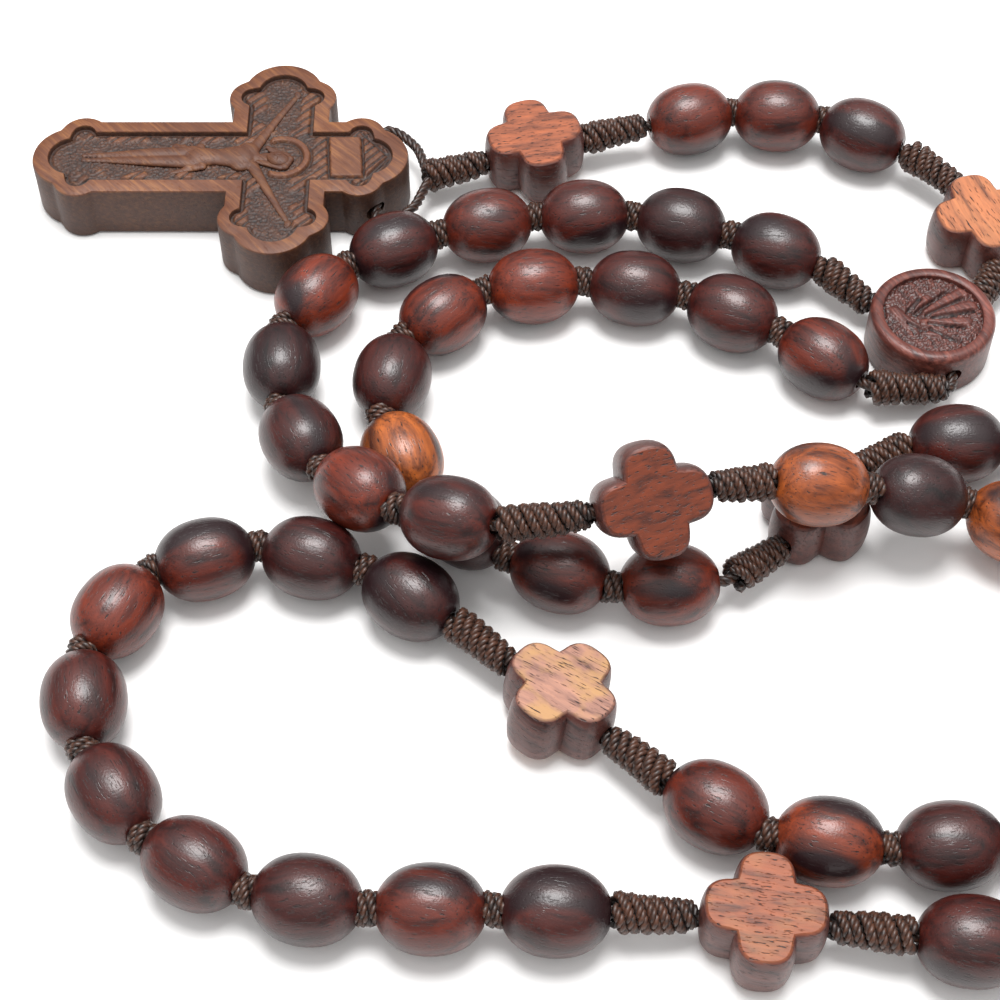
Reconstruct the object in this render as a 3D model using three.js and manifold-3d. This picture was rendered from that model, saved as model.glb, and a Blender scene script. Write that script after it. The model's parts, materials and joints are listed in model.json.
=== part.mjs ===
// A wooden five-decade rosary, laid out on a table: oval and cross-shaped beads on a knotted cord,
// a round centre medal, and a short pendant that ends in a crucifix on a cord loop.
// Millimetres, +Z up. The origin is the centre of the medal's back face, which lies on the table.
import * as THREE from "three";
import { mergeVertices } from "three/addons/utils/BufferGeometryUtils.js";
import Module from "manifold-3d";

const wasm = await Module();
wasm.setup();

// ---- driving dimensions, mm ----
const OVAL_D = 8.2; // across the facets' corners, so that the mean diameter is 8
const OVAL_LENGTH = 9.2;
const OVAL_END_D = 2.6; // flat ring round the hole at each end of an oval bead
const CROSS_SPAN = 11.1; // tip to tip of a cross bead
const CROSS_LOBE_R = 2.95;
const CROSS_T = 6.0;
const MEDAL_D = 13.0;
const MEDAL_T = 5.6;
const MEDAL_RIM = 1.3;
const MEDAL_RECESS = 0.6;
const CORD_D = 1.1;
const BORE_D = 1.9; // hole through every bead
const KNOT_D = 3.7; // wrapped knot beside a cross bead, the medal or the crucifix
const KNOT_LENGTH = 6.4;
const SMALL_KNOT_D = 2.4;
const SMALL_KNOT_LENGTH = 0.9; // tip to tip of its double cone
const OVAL_GAP = 1.2; // between two ovals, round a small knot
const KNOT_GAP = 0.5; // from a wrapped knot to its neighbours
const BEND_GAP = 1.6; // where the cord turns sharply beside a knot
const RIM_GAP = 2.8; // from the knot that lies along the medal's rim to its hole
const FOLD_GAP = 1.5; // from a bead to the knot where the pendant folds
const FOLD_CLEARANCE = 0.3; // from a fold's axis to the end of each cord
const TABLE_CLEARANCE = 0.1; // so that nothing rests below the medal's back

const CRUCIFIX_LENGTH = 41.4;
const CRUCIFIX_SPAN = 29.0;
const CRUCIFIX_T = 6.5;
const LIMB_W = 10.8;
const ARM_AT = 26.9; // from the foot's tip to the middle of the arms
const END_LOBE_R = 4.5;
const SIDE_LOBE_R = 2.7;
const SIDE_LOBE_AT = 5.3; // from the limb's tip
const SIDE_LOBE_OFFSET = 3.3; // from the limb's middle line
const BORDER = 1.6;
const POCKET_DEPTH = 0.9;
const RELIEF_H = 0.6;
const HEAD_HOLE_D = 1.9;
const HEAD_HOLE_AT = 3.6; // from the head's tip
const LOOP_BEND = 1.15; // radius of the cord loop where it leaves the head's hole
const TIP_TO_KNOT = 1.7; // room for the head to swing past the pendant's last knot

const SIDES_OVAL = 10;
const SIDES_CORD = 8;
const UP = new THREE.Vector3(0, 0, 1);
const RAD = Math.PI / 180;

// ---- the strand's lay: [x, y, lift]; lift is the height above a bead that lies on the table ----
const LOOP_ROUTE = [
  [-9.4, 7.2, -0.7], [-15.7, 10.2, 0], [-25.7, 14, 0], [-35.8, 15.4, 0], [-45.8, 13.9, 0],
  [-55.4, 10.9, 0], [-64.1, 5.3, 0], [-68.2, -3.8, 0], [-65.9, -15.2, 0.5], [-58.8, -24.8, 3.9],
  [-48.4, -31.3, 7.5], [-39.4, -31.6, 8.6], [-30, -29.8, 10.2], [-21.8, -27.4, 8.8], [-14, -26.5, 7],
  [-4.8, -25, 4], [3.4, -25.4, 0.7], [12.6, -31, 0], [16.6, -42, 0], [12.2, -53, 0],
  [0.5, -60, 0], [-13.5, -60.5, 0], [-23.4, -58.6, 0], [-38.8, -46, -0.8], [-53.7, -33.9, 0],
  [-63.2, -29.2, 0], [-73, -29.2, 0], [-81.4, -34.3, 0], [-84, -44.4, 0], [-80.4, -55, 0],
  [-71.4, -63, 0], [-60.4, -66, 0], [-39.4, -66.6, 0], [-22.5, -67.1, -0.8], [-5, -69.4, 0],
  [12.5, -69.5, 0], [26, -59, 0], [29.5, -43, 0], [23, -26, 0], [11.5, -16.6, 0],
  [0.5, -16.2, 0], [-7, -16.6, -0.7], [-13.8, -22.6, -0.8], [-20.6, -31, -0.7], [-28.2, -33.4, 0],
  [-38.6, -32.4, 0], [-47.8, -27.2, 0], [-55.2, -18.6, 0], [-57, -7.8, 0], [-51.8, 1.8, 0],
  [-41.4, 5.2, 0], [-30.5, 4.9, 0], [-20.8, 1.7, 0], [-13, -3.9, 0], [-8.5, -7.6, -0.4],
  [-4, -10, -0.9], [0.4, -10.1, -1.2],
];
// how far along the route the middles of these beads lie, in mm
const LOOP_TIES = {
  decade1_bead06: 65.6, cross_bead_1: 129.2, cross_bead_2: 259.6, cross_bead_3: 392,
  cross_bead_4: 523.4,
};
const PENDANT_ROUTE = [
  [7.1, 5.6, -1.1], [8.6, 8.6, -1.1], [7.7, 15, -0.9], [3.6, 22.2, -0.5], [-4.5, 27.8, 0],
  [-14.3, 31.2, 0], [-24.7, 29.8, 0], [-41.8, 25.6, -0.8],
];
const CRUCIFIX_HEAD = [-54.9, 21.8]; // tip of the crucifix's head; its foot points along -X
const MEDAL_HOLES = { first: 150, last: 285, pendant: 35 }; // degrees round the rim

const woodColours = { plum: 0x3d1a18, rosewood: 0x5a2416, orange: 0x8a4522, sawn: 0x9a5a3c };
const tableZ = OVAL_D / 2 + TABLE_CLEARANCE;

function material(colour, roughness = 0.4) {
  return new THREE.MeshStandardMaterial({ color: colour, roughness, metalness: 0 });
}

// ---- solids: to and from manifold-3d ----
function solid(geometry, matrix) {
  let g = geometry.index ? geometry.toNonIndexed() : geometry.clone();
  if (matrix) g.applyMatrix4(matrix);
  g.deleteAttribute("normal");
  g.deleteAttribute("uv");
  g = mergeVertices(g, 1e-4);
  return new wasm.Manifold(
    new wasm.Mesh({
      numProp: 3,
      vertProperties: new Float32Array(g.attributes.position.array),
      triVerts: new Uint32Array(g.index.array),
    }),
  );
}

function geometryOf(made) {
  const m = made.getMesh();
  const positions = new Float32Array(m.numVert * 3);
  for (let i = 0; i < m.numVert; i++)
    positions.set(m.vertProperties.subarray(i * m.numProp, i * m.numProp + 3), i * 3);
  const g = new THREE.BufferGeometry();
  g.setAttribute("position", new THREE.BufferAttribute(positions, 3));
  g.setIndex(new THREE.BufferAttribute(m.triVerts, 1));
  return g;
}

// A frame with X along dir and Z as near up as it can be, rolled about X.
function frameAt(centre, dir, roll = 0) {
  const y = new THREE.Vector3().crossVectors(UP, dir).normalize();
  const z = new THREE.Vector3().crossVectors(dir, y);
  const turned = new THREE.Matrix4().makeBasis(dir, y, z);
  turned.multiply(new THREE.Matrix4().makeRotationX(roll * RAD));
  return turned.setPosition(centre);
}

function placed(name, geometry, mat, frame) {
  const mesh = new THREE.Mesh(geometry, mat);
  mesh.name = name;
  if (frame) frame.decompose(mesh.position, mesh.quaternion, mesh.scale);
  return mesh;
}

// A lathe whose axis is X. profile: [along, radius] pairs.
function turnedAboutX(profile, sides) {
  const points = profile.map(([along, r]) => new THREE.Vector2(r, along));
  return new THREE.LatheGeometry(points, sides).rotateZ(-Math.PI / 2);
}

function rod(length, diameter, sides = SIDES_OVAL) {
  const h = length / 2;
  const r = diameter / 2;
  return turnedAboutX([[-h, 0], [-h, r], [h, r], [h, 0]], sides);
}

// A path through stations that a swept tube visits one by one.
class StationPath extends THREE.Curve {
  constructor(stations) {
    super();
    this.stations = stations;
  }
  getPoint(t, target = new THREE.Vector3()) {
    const last = this.stations.length - 1;
    const at = Math.min(Math.max(t, 0), 1) * last;
    const i = Math.min(Math.floor(at), last - 1);
    return target.lerpVectors(this.stations[i], this.stations[i + 1], at - i);
  }
  getUtoTmapping(u) {
    return u;
  }
}

function tube(stations, diameter) {
  const section = new THREE.Shape();
  for (let i = 0; i < SIDES_CORD; i++) {
    const a = (2 * Math.PI * i) / SIDES_CORD;
    section[i ? "lineTo" : "moveTo"]((diameter / 2) * Math.cos(a), (diameter / 2) * Math.sin(a));
  }
  const steps = stations.length - 1;
  return new THREE.ExtrudeGeometry(section, { steps, extrudePath: new StationPath(stations) });
}

// ---- pieces ----
function ovalProfile() {
  const h = OVAL_LENGTH / 2;
  const r = OVAL_D / 2;
  return [[-h, OVAL_END_D / 2], [-0.62 * h, 0.85 * r], [0, r], [0.62 * h, 0.85 * r], [h, OVAL_END_D / 2]];
}

function ovalBead() {
  const h = OVAL_LENGTH / 2;
  const bored = [[-h, BORE_D / 2], ...ovalProfile(), [h, BORE_D / 2], [-h, BORE_D / 2]];
  return turnedAboutX(bored, SIDES_OVAL);
}

function ovalBlank() {
  const h = OVAL_LENGTH / 2;
  return turnedAboutX([[-h, 0], ...ovalProfile(), [h, 0]], SIDES_OVAL);
}

function crossBead() {
  const outline = new THREE.Shape();
  const lobeAt = CROSS_SPAN / 2 - CROSS_LOBE_R;
  const meet = (lobeAt + Math.sqrt(2 * CROSS_LOBE_R ** 2 - lobeAt ** 2)) / 2; // where two lobes meet
  const half = Math.atan2(meet, meet - lobeAt);
  for (let lobe = 0; lobe < 4; lobe++) {
    const a = (lobe * Math.PI) / 2;
    outline.absarc(lobeAt * Math.cos(a), lobeAt * Math.sin(a), CROSS_LOBE_R, a - half, a + half);
  }
  const thick = { depth: CROSS_T, bevelEnabled: false, curveSegments: 6 };
  const body = new THREE.ExtrudeGeometry(outline, thick);
  body.translate(0, 0, -CROSS_T / 2);
  return geometryOf(solid(body).subtract(solid(rod(CROSS_SPAN + 2, BORE_D))));
}

function rim(degrees, radius) {
  return new THREE.Vector3(radius * Math.cos(degrees * RAD), radius * Math.sin(degrees * RAD), MEDAL_T / 2);
}

function medal() {
  const r = MEDAL_D / 2;
  const edge = 0.5;
  const field = r - MEDAL_RIM;
  const floor = MEDAL_T - MEDAL_RECESS;
  const profile = [[0, 0], [0, r - edge], [edge, r], [MEDAL_T - edge, r], [MEDAL_T, r - edge]];
  profile.push([MEDAL_T, field], [floor, field], [floor, 0]);
  const points = profile.map(([z, radius]) => new THREE.Vector2(radius, z));
  let made = solid(new THREE.LatheGeometry(points, 28).rotateX(Math.PI / 2));
  for (const degrees of Object.values(MEDAL_HOLES)) {
    const along = rim(degrees, 1).setZ(0).normalize();
    const bore = rod(r + 2, BORE_D);
    made = made.subtract(solid(bore, frameAt(rim(degrees, r / 2 + 1), along)));
  }
  for (const [x, y, turn] of [[-1.2, 0.6, 35], [1.6, -1.2, -20], [0.6, 1.4, 80]]) {
    const stroke = new THREE.BoxGeometry(3.4, 0.5, 0.5).rotateZ(turn * RAD).translate(x, y, floor);
    made = made.subtract(solid(stroke));
  }
  return geometryOf(made);
}

// A flat outline of the crucifix, drawn in by inset, from z to z + height.
function crucifixSlab(inset, z, height) {
  const parts = [];
  const add = (g) => parts.push(solid(g.translate(0, 0, z + height / 2)));
  const w = LIMB_W - 2 * inset;
  const disc = (r, x, y) =>
    new THREE.CylinderGeometry(r - inset, r - inset, height, 14).rotateX(Math.PI / 2).translate(x, y, 0);
  const shaft = new THREE.BoxGeometry(CRUCIFIX_LENGTH - 2 * END_LOBE_R, w, height);
  add(shaft.translate(CRUCIFIX_LENGTH / 2, 0, 0));
  const arms = new THREE.BoxGeometry(w, CRUCIFIX_SPAN - 2 * END_LOBE_R, height);
  add(arms.translate(ARM_AT, 0, 0));
  const ends = [[0, 0, 1, 0], [CRUCIFIX_LENGTH, 0, -1, 0], [ARM_AT, CRUCIFIX_SPAN / 2, 0, -1]];
  ends.push([ARM_AT, -CRUCIFIX_SPAN / 2, 0, 1]);
  for (const [x, y, inX, inY] of ends) {
    add(disc(END_LOBE_R, x + inX * END_LOBE_R, y + inY * END_LOBE_R));
    for (const side of [-1, 1]) {
      const cx = x + inX * SIDE_LOBE_AT - inY * side * SIDE_LOBE_OFFSET;
      const cy = y + inY * SIDE_LOBE_AT + inX * side * SIDE_LOBE_OFFSET;
      add(disc(SIDE_LOBE_R, cx, cy));
    }
  }
  return parts.reduce((a, b) => a.add(b));
}

// Low relief in the pocket: a plain figure with outstretched arms, and a blank plaque above its head.
function relief() {
  const floor = CRUCIFIX_T - POCKET_DEPTH;
  const bar = (length, width, x, y, turn = 0) =>
    solid(
      new THREE.BoxGeometry(length, width, RELIEF_H + 0.4)
        .rotateZ(turn * RAD)
        .translate(x, y, floor + RELIEF_H / 2 - 0.2),
    );
  const head = new THREE.CylinderGeometry(1.3, 1.3, RELIEF_H + 0.4, 12).rotateX(Math.PI / 2);
  const pieces = [bar(7, 3, ARM_AT - 3.2, 0), bar(13, 1.8, ARM_AT - 12.6, 0)];
  pieces.push(bar(1.2, 8.5, ARM_AT + 0.9, 4.4, 12), bar(1.2, 8.5, ARM_AT + 0.9, -4.4, -12));
  pieces.push(solid(head.translate(ARM_AT + 2, 0, floor + RELIEF_H / 2 - 0.2)), bar(3, 5, ARM_AT + 7.6, 0));
  return pieces.reduce((a, b) => a.add(b));
}

function crucifix() {
  let made = crucifixSlab(0, 0, CRUCIFIX_T);
  made = made.subtract(crucifixSlab(BORDER, CRUCIFIX_T - POCKET_DEPTH, POCKET_DEPTH + 1)).add(relief());
  const along = new THREE.Vector3(0, 1, 0);
  const at = new THREE.Vector3(CRUCIFIX_LENGTH - HEAD_HOLE_AT, 0, CRUCIFIX_T / 2);
  made = made.subtract(solid(rod(LIMB_W + 8, HEAD_HOLE_D, 12), frameAt(at, along)));
  return geometryOf(made);
}

// ---- the strand: what is on each route, in order ----
const oval = (name) => ({ name, kind: "oval", length: OVAL_LENGTH });
const cross = (name, roll) => ({ name, kind: "cross", length: CROSS_SPAN, roll });
const knot = (length = KNOT_LENGTH) => ({ kind: "knot", length });

const sharplyBent = (piece) => ({ ...piece, gapAfter: BEND_GAP });

function decade(n) {
  const beads = [];
  for (let i = 1; i <= 10; i++) beads.push(oval(`decade${n}_bead${String(i).padStart(2, "0")}`));
  return beads;
}

const LOOP_PIECES = [
  knot(), ...decade(1), knot(KNOT_LENGTH + 1.5), cross("cross_bead_1", 42), knot(KNOT_LENGTH - 0.9),
  ...decade(2), knot(), cross("cross_bead_2", 10), knot(),
  ...decade(3), knot(), cross("cross_bead_3", 0), knot(),
  ...decade(4), knot(), cross("cross_bead_4", 0), sharplyBent(knot(KNOT_LENGTH - 0.8)),
  ...decade(5).slice(1).reverse(), sharplyBent(decade(5)[0]),
  { ...knot(KNOT_LENGTH + 0.9), gapAfter: RIM_GAP },
];
const PENDANT_PIECES = [
  sharplyBent(knot(KNOT_LENGTH - 1.7)), sharplyBent(cross("cross_bead_6", 0)), knot(),
  { ...oval("pendant_bead3"), foldBefore: true }, oval("pendant_bead2"), oval("pendant_bead1"),
  { ...knot(), foldBefore: true }, cross("cross_bead_5", 0), knot(),
];

function gapBetween(a, b) {
  if (b && b.foldBefore) return FOLD_GAP;
  if (a && a.gapAfter) return a.gapAfter;
  return a && b && a.kind === "oval" && b.kind === "oval" ? OVAL_GAP : KNOT_GAP;
}

function sumOf(numbers) {
  return numbers.reduce((sum, n) => sum + n, 0);
}

// Lays the pieces along a route. A tied piece's middle lies at its own distance along the route. Between
// two of these, the gaps share what the route has over or under the pieces' length.
function lay(pieces, points, ties = {}) {
  const route = new THREE.CatmullRomCurve3(points, false, "centripetal");
  route.arcLengthDivisions = 4000;
  const gaps = [gapBetween(null, pieces[0])];
  pieces.forEach((piece, i) => gaps.push(gapBetween(piece, pieces[i + 1])));
  let firstGap = 0;
  let runStart = 0;
  let taken = 0;
  [...pieces, null].forEach((piece, i) => {
    const tie = piece ? ties[piece.name] : route.getLength();
    if (tie === undefined) {
      taken += piece.length;
      return;
    }
    const half = piece ? piece.length / 2 : 0;
    const share = (tie - runStart - taken - half) / sumOf(gaps.slice(firstGap, i + 1));
    for (let k = firstGap; k <= i; k++) gaps[k] *= share;
    [firstGap, runStart, taken] = [i + 1, tie, half];
  });
  const at = (s) => route.getPointAt(Math.min(Math.max(s / route.getLength(), 0), 1));
  let s = gaps[0] / 2;
  const stations = [at(s)];
  pieces.forEach((piece, i) => {
    const [before, after] = [gaps[i] / 2, gaps[i + 1] / 2];
    s += before + piece.length + after;
    stations.push(at(s));
    const [a, b] = stations.slice(-2);
    piece.end = b;
    piece.axis = new THREE.Vector3().subVectors(b, a).normalize();
    const middle = (before + piece.length / 2) / (before + piece.length + after);
    piece.centre = new THREE.Vector3().lerpVectors(a, b, middle);
  });
  return stations;
}

function onTable([x, y, lift]) {
  return new THREE.Vector3(x, y, tableZ + lift);
}

const headTip = new THREE.Vector3(CRUCIFIX_HEAD[0], CRUCIFIX_HEAD[1], CRUCIFIX_T / 2 + TABLE_CLEARANCE);
const pendantEnd = headTip.clone().setX(headTip.x + TIP_TO_KNOT);
const rimRadius = MEDAL_D / 2;
const loopStations = lay(LOOP_PIECES, [
  rim(MEDAL_HOLES.first, rimRadius), ...LOOP_ROUTE.map(onTable), rim(MEDAL_HOLES.last, rimRadius),
], LOOP_TIES);
const pendantStations = lay(PENDANT_PIECES, [
  rim(MEDAL_HOLES.pendant, rimRadius), ...PENDANT_ROUTE.map(onTable), pendantEnd,
]);

// A wrapped knot, and the small knot between two ovals.
function wrappedKnot(piece) {
  const h = piece.length / 2;
  const r = KNOT_D / 2;
  const profile = [[-h, 0], [-h, 0.6 * r], [-h + 0.9, r], [h - 0.9, r], [h, 0.6 * r], [h, 0]];
  return solid(turnedAboutX(profile, SIDES_CORD), frameAt(piece.centre, piece.axis));
}

function smallKnot(at, a, b) {
  const profile = [[-SMALL_KNOT_LENGTH / 2, 0], [0, SMALL_KNOT_D / 2], [SMALL_KNOT_LENGTH / 2, 0]];
  const along = new THREE.Vector3().addVectors(a.axis, b.axis).normalize();
  return solid(turnedAboutX(profile, 6), frameAt(at, along));
}

// Cord through a run of pieces, with its knots; hidden marks the ovals joined into one stretch.
function knottedCord(pieces, stations, hidden = () => false) {
  let made = solid(tube(stations, CORD_D));
  pieces.forEach((piece, i) => {
    const next = pieces[i + 1];
    if (piece.kind === "knot") made = made.add(wrappedKnot(piece));
    else if (next && piece.kind === "oval" && next.kind === "oval" && !hidden(piece, next))
      made = made.add(smallKnot(piece.end, piece, next));
  });
  return made;
}

// Ovals of the far side of decade 4, joined by sleeves round the cord where the knots are.
const FAR_STRETCHES = [
  ["decade4_beads02to05", 2, 5],
  ["decade4_beads06to09", 6, 9],
];

function farStretch(first, last) {
  const far = LOOP_PIECES.filter((p) => p.kind === "oval" && p.name.startsWith("decade4"));
  const run = far.slice(first - 1, last);
  const start = LOOP_PIECES.indexOf(run[0]);
  let made = run.map((p) => solid(ovalBlank(), frameAt(p.centre, p.axis))).reduce((a, b) => a.add(b));
  run.slice(1).forEach((p, i) => {
    const along = new THREE.Vector3().addVectors(p.axis, run[i].axis).normalize();
    made = made.add(solid(rod(OVAL_GAP + 3, OVAL_END_D, SIDES_CORD), frameAt(run[i].end, along)));
  });
  const bore = tube(loopStations.slice(start, start + run.length + 1), BORE_D);
  return geometryOf(made.subtract(solid(bore)));
}

function farStretchOf(piece) {
  const [, n, i] = /^decade(\d)_bead(\d+)$/.exec(piece.name) ?? [];
  return n === "4" ? FAR_STRETCHES.findIndex(([, first, last]) => i >= first && i <= last) : -1;
}

const sameStretch = (a, b) => farStretchOf(a) >= 0 && farStretchOf(a) === farStretchOf(b);

// The loop that carries the crucifix: out of the last knot, round the head and through its hole.
function crucifixLoop() {
  const holeX = headTip.x - HEAD_HOLE_AT;
  const mouth = SIDE_LOBE_OFFSET + SIDE_LOBE_R + 0.15;
  const half = [[TIP_TO_KNOT + 0.4, 0.5], [TIP_TO_KNOT - 0.2, 2], [TIP_TO_KNOT - 1, 4.4], [-1, 6.4]];
  const side = half.map(([x, y]) => new THREE.Vector3(headTip.x + x, y, headTip.z));
  for (const turn of [0, 45, 90]) {
    const x = holeX + LOOP_BEND * (1 - Math.sin(turn * RAD));
    side.push(new THREE.Vector3(x, mouth + LOOP_BEND * Math.cos(turn * RAD), headTip.z));
  }
  const other = side.map((p) => p.clone().setY(-p.y)).reverse();
  const stations = [...side, ...other].map((p) => p.setY(p.y + headTip.y));
  return solid(tube(stations, CORD_D));
}

function pendantCords() {
  const folds = PENDANT_PIECES.map((p, i) => (p.foldBefore ? i : -1)).filter((i) => i >= 0);
  const bounds = [0, ...folds, PENDANT_PIECES.length];
  const names = ["pendant_cord_upper", "pendant_cord_middle", "pendant_cord_lower"];
  return names.map((name, k) => {
    const [from, to] = [bounds[k], bounds[k + 1]];
    const stations = pendantStations.slice(from, to + 1).map((p) => p.clone());
    const trim = (end, next) => {
      const toward = new THREE.Vector3().subVectors(stations.at(next), stations.at(end)).normalize();
      stations.at(end).addScaledVector(toward, FOLD_CLEARANCE);
    };
    if (k === 0) stations.unshift(rim(MEDAL_HOLES.pendant, CORD_D + 0.4));
    else trim(0, 1);
    if (k < names.length - 1) trim(-1, -2);
    let made = knottedCord(PENDANT_PIECES.slice(from, to), stations);
    if (k === names.length - 1) made = made.add(crucifixLoop());
    return placed(name, geometryOf(made), material(0x3a1e12, 0.7));
  });
}

function loopCord() {
  const start = rim(MEDAL_HOLES.first, CORD_D + 0.4);
  const end = [rim(MEDAL_HOLES.last, rimRadius), rim(MEDAL_HOLES.last, CORD_D + 0.4)];
  const stations = [start, ...loopStations, ...end];
  const made = knottedCord(LOOP_PIECES, stations, sameStretch);
  return placed("loop_cord", geometryOf(made), material(0x3a1e12, 0.7));
}

function beads(pieces) {
  const tones = [woodColours.rosewood, woodColours.plum, woodColours.rosewood, woodColours.orange];
  const made = [];
  for (const piece of pieces) {
    if (piece.kind === "knot" || (piece.kind === "oval" && farStretchOf(piece) >= 0)) continue;
    const isOval = piece.kind === "oval";
    const geometry = isOval ? ovalBead() : crossBead();
    const colour = isOval ? tones[made.length % tones.length] : woodColours.sawn;
    made.push(placed(piece.name, geometry, material(colour), frameAt(piece.centre, piece.axis, piece.roll)));
  }
  return made;
}

const rosary = new THREE.Group();
rosary.add(placed("medal", medal(), material(woodColours.plum)));
rosary.add(...beads(LOOP_PIECES), ...beads(PENDANT_PIECES));
for (const [name, first, last] of FAR_STRETCHES)
  rosary.add(placed(name, farStretch(first, last), material(woodColours.rosewood)));
const crucifixMesh = placed("crucifix", crucifix(), material(woodColours.rosewood, 0.5));
crucifixMesh.position.set(headTip.x - CRUCIFIX_LENGTH, headTip.y, TABLE_CLEARANCE);
rosary.add(crucifixMesh, loopCord(), ...pendantCords());

export default rosary;
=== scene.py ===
# A wooden five-decade rosary, laid out as a Blender add-on and run as a script.
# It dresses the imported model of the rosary, which is loaded first and stays as it is.
# Everything is in metres, in the model's own frame: the origin is under the medal, on the table.
import json
import math
import random

import bmesh
import bpy
import numpy as np
from bpy.props import FloatProperty, FloatVectorProperty, IntProperty, PointerProperty
from mathutils import Matrix, Vector, noise


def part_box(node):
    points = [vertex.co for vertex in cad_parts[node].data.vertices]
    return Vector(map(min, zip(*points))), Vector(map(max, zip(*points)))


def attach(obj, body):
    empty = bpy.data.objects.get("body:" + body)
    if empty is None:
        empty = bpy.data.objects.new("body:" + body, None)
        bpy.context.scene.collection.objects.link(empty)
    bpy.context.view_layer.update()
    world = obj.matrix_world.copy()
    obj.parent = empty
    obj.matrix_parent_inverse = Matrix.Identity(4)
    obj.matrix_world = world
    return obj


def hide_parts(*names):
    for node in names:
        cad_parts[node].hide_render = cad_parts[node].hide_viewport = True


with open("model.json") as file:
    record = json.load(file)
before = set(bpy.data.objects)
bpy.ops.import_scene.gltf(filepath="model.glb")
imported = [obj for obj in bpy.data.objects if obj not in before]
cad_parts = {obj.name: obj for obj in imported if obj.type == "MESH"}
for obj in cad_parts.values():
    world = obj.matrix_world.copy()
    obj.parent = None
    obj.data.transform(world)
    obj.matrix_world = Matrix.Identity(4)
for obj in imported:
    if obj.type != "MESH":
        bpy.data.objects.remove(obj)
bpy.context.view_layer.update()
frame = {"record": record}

bl_info = {
    "name": "Wooden rosary",
    "version": (1, 0, 0),
    "blender": (4, 5, 0),
    "location": "View3D > Sidebar > Rosary",
    "description": "Beads, cords, medal and crucifix of a knotted wooden rosary",
    "category": "Object",
}

MM = 0.001
MERGE_WITHIN = 0.002 * MM  # points closer than this are one


def paint(hex_colour):
    """An sRGB hex colour as linear red, green and blue."""
    parts = [((hex_colour >> shift) & 255) / 255 for shift in (16, 8, 0)]
    return tuple(c / 12.92 if c <= 0.04045 else ((c + 0.055) / 1.055) ** 2.4 for c in parts)


def span_of(node):
    """The three sides of a model node's box."""
    low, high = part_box(node)
    return high - low


# ---- the strand's lay ----
# The same pieces, gaps and route points as the model's, so that all falls where it is there.
TABLE_CLEARANCE = 0.1 * MM
OVAL_LENGTH = 9.2 * MM
OVAL_D = 8.2 * MM  # over the model's facet corners
CROSS_SPAN = 11.1 * MM
CROSS_T = 6.0 * MM
KNOT_LENGTH = 6.4 * MM
OVAL_GAP = 1.2 * MM
KNOT_GAP = 0.5 * MM
BEND_GAP = 1.6 * MM
RIM_GAP = 2.8 * MM
FOLD_GAP = 1.5 * MM
CORD_D = 1.1 * MM
MEDAL_HOLES = {"first": 150, "last": 285, "pendant": 35}  # degrees round the rim
CORD_START = CORD_D + 0.4 * MM  # how far from the medal's middle its cords begin
TIP_TO_KNOT = 1.7 * MM  # from the crucifix's head to the pendant's last knot
HEAD_HOLE_AT = 3.6 * MM

LOOP_ROUTE = [
    (-9.4, 7.2, -0.7), (-15.7, 10.2, 0), (-25.7, 14, 0), (-35.8, 15.4, 0), (-45.8, 13.9, 0),
    (-55.4, 10.9, 0), (-64.1, 5.3, 0), (-68.2, -3.8, 0), (-65.9, -15.2, 0.5), (-58.8, -24.8, 3.9),
    (-48.4, -31.3, 7.5), (-39.4, -31.6, 8.6), (-30, -29.8, 10.2), (-21.8, -27.4, 8.8), (-14, -26.5, 7),
    (-4.8, -25, 4), (3.4, -25.4, 0.7), (12.6, -31, 0), (16.6, -42, 0), (12.2, -53, 0),
    (0.5, -60, 0), (-13.5, -60.5, 0), (-23.4, -58.6, 0), (-38.8, -46, -0.8), (-53.7, -33.9, 0),
    (-63.2, -29.2, 0), (-73, -29.2, 0), (-81.4, -34.3, 0), (-84, -44.4, 0), (-80.4, -55, 0),
    (-71.4, -63, 0), (-60.4, -66, 0), (-39.4, -66.6, 0), (-22.5, -67.1, -0.8), (-5, -69.4, 0),
    (12.5, -69.5, 0), (26, -59, 0), (29.5, -43, 0), (23, -26, 0), (11.5, -16.6, 0),
    (0.5, -16.2, 0), (-7, -16.6, -0.7), (-13.8, -22.6, -0.8), (-20.6, -31, -0.7), (-28.2, -33.4, 0),
    (-38.6, -32.4, 0), (-47.8, -27.2, 0), (-55.2, -18.6, 0), (-57, -7.8, 0), (-51.8, 1.8, 0),
    (-41.4, 5.2, 0), (-30.5, 4.9, 0), (-20.8, 1.7, 0), (-13, -3.9, 0), (-8.5, -7.6, -0.4),
    (-4, -10, -0.9), (0.4, -10.1, -1.2),
]  # x, y and lift in mm; lift is the height above a bead that lies on the table
LOOP_TIES = {
    "decade1_bead06": 65.6 * MM, "cross_bead_1": 129.2 * MM, "cross_bead_2": 259.6 * MM,
    "cross_bead_3": 392 * MM, "cross_bead_4": 523.4 * MM,
}  # how far along the route the middles of these beads lie
PENDANT_ROUTE = [
    (7.1, 5.6, -1.1), (8.6, 8.6, -1.1), (7.7, 15, -0.9), (3.6, 22.2, -0.5), (-4.5, 27.8, 0),
    (-14.3, 31.2, 0), (-24.7, 29.8, 0), (-41.8, 25.6, -0.8),
]

medal_size = span_of("medal")
crucifix_low, crucifix_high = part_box("crucifix")
MEDAL_R = medal_size.y / 2
MEDAL_T = medal_size.z
CRUCIFIX_LENGTH, CRUCIFIX_SPAN, CRUCIFIX_T = crucifix_high - crucifix_low
HEAD_TIP = Vector((-54.9 * MM, (crucifix_low.y + crucifix_high.y) / 2, crucifix_low.z + CRUCIFIX_T / 2))


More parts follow.
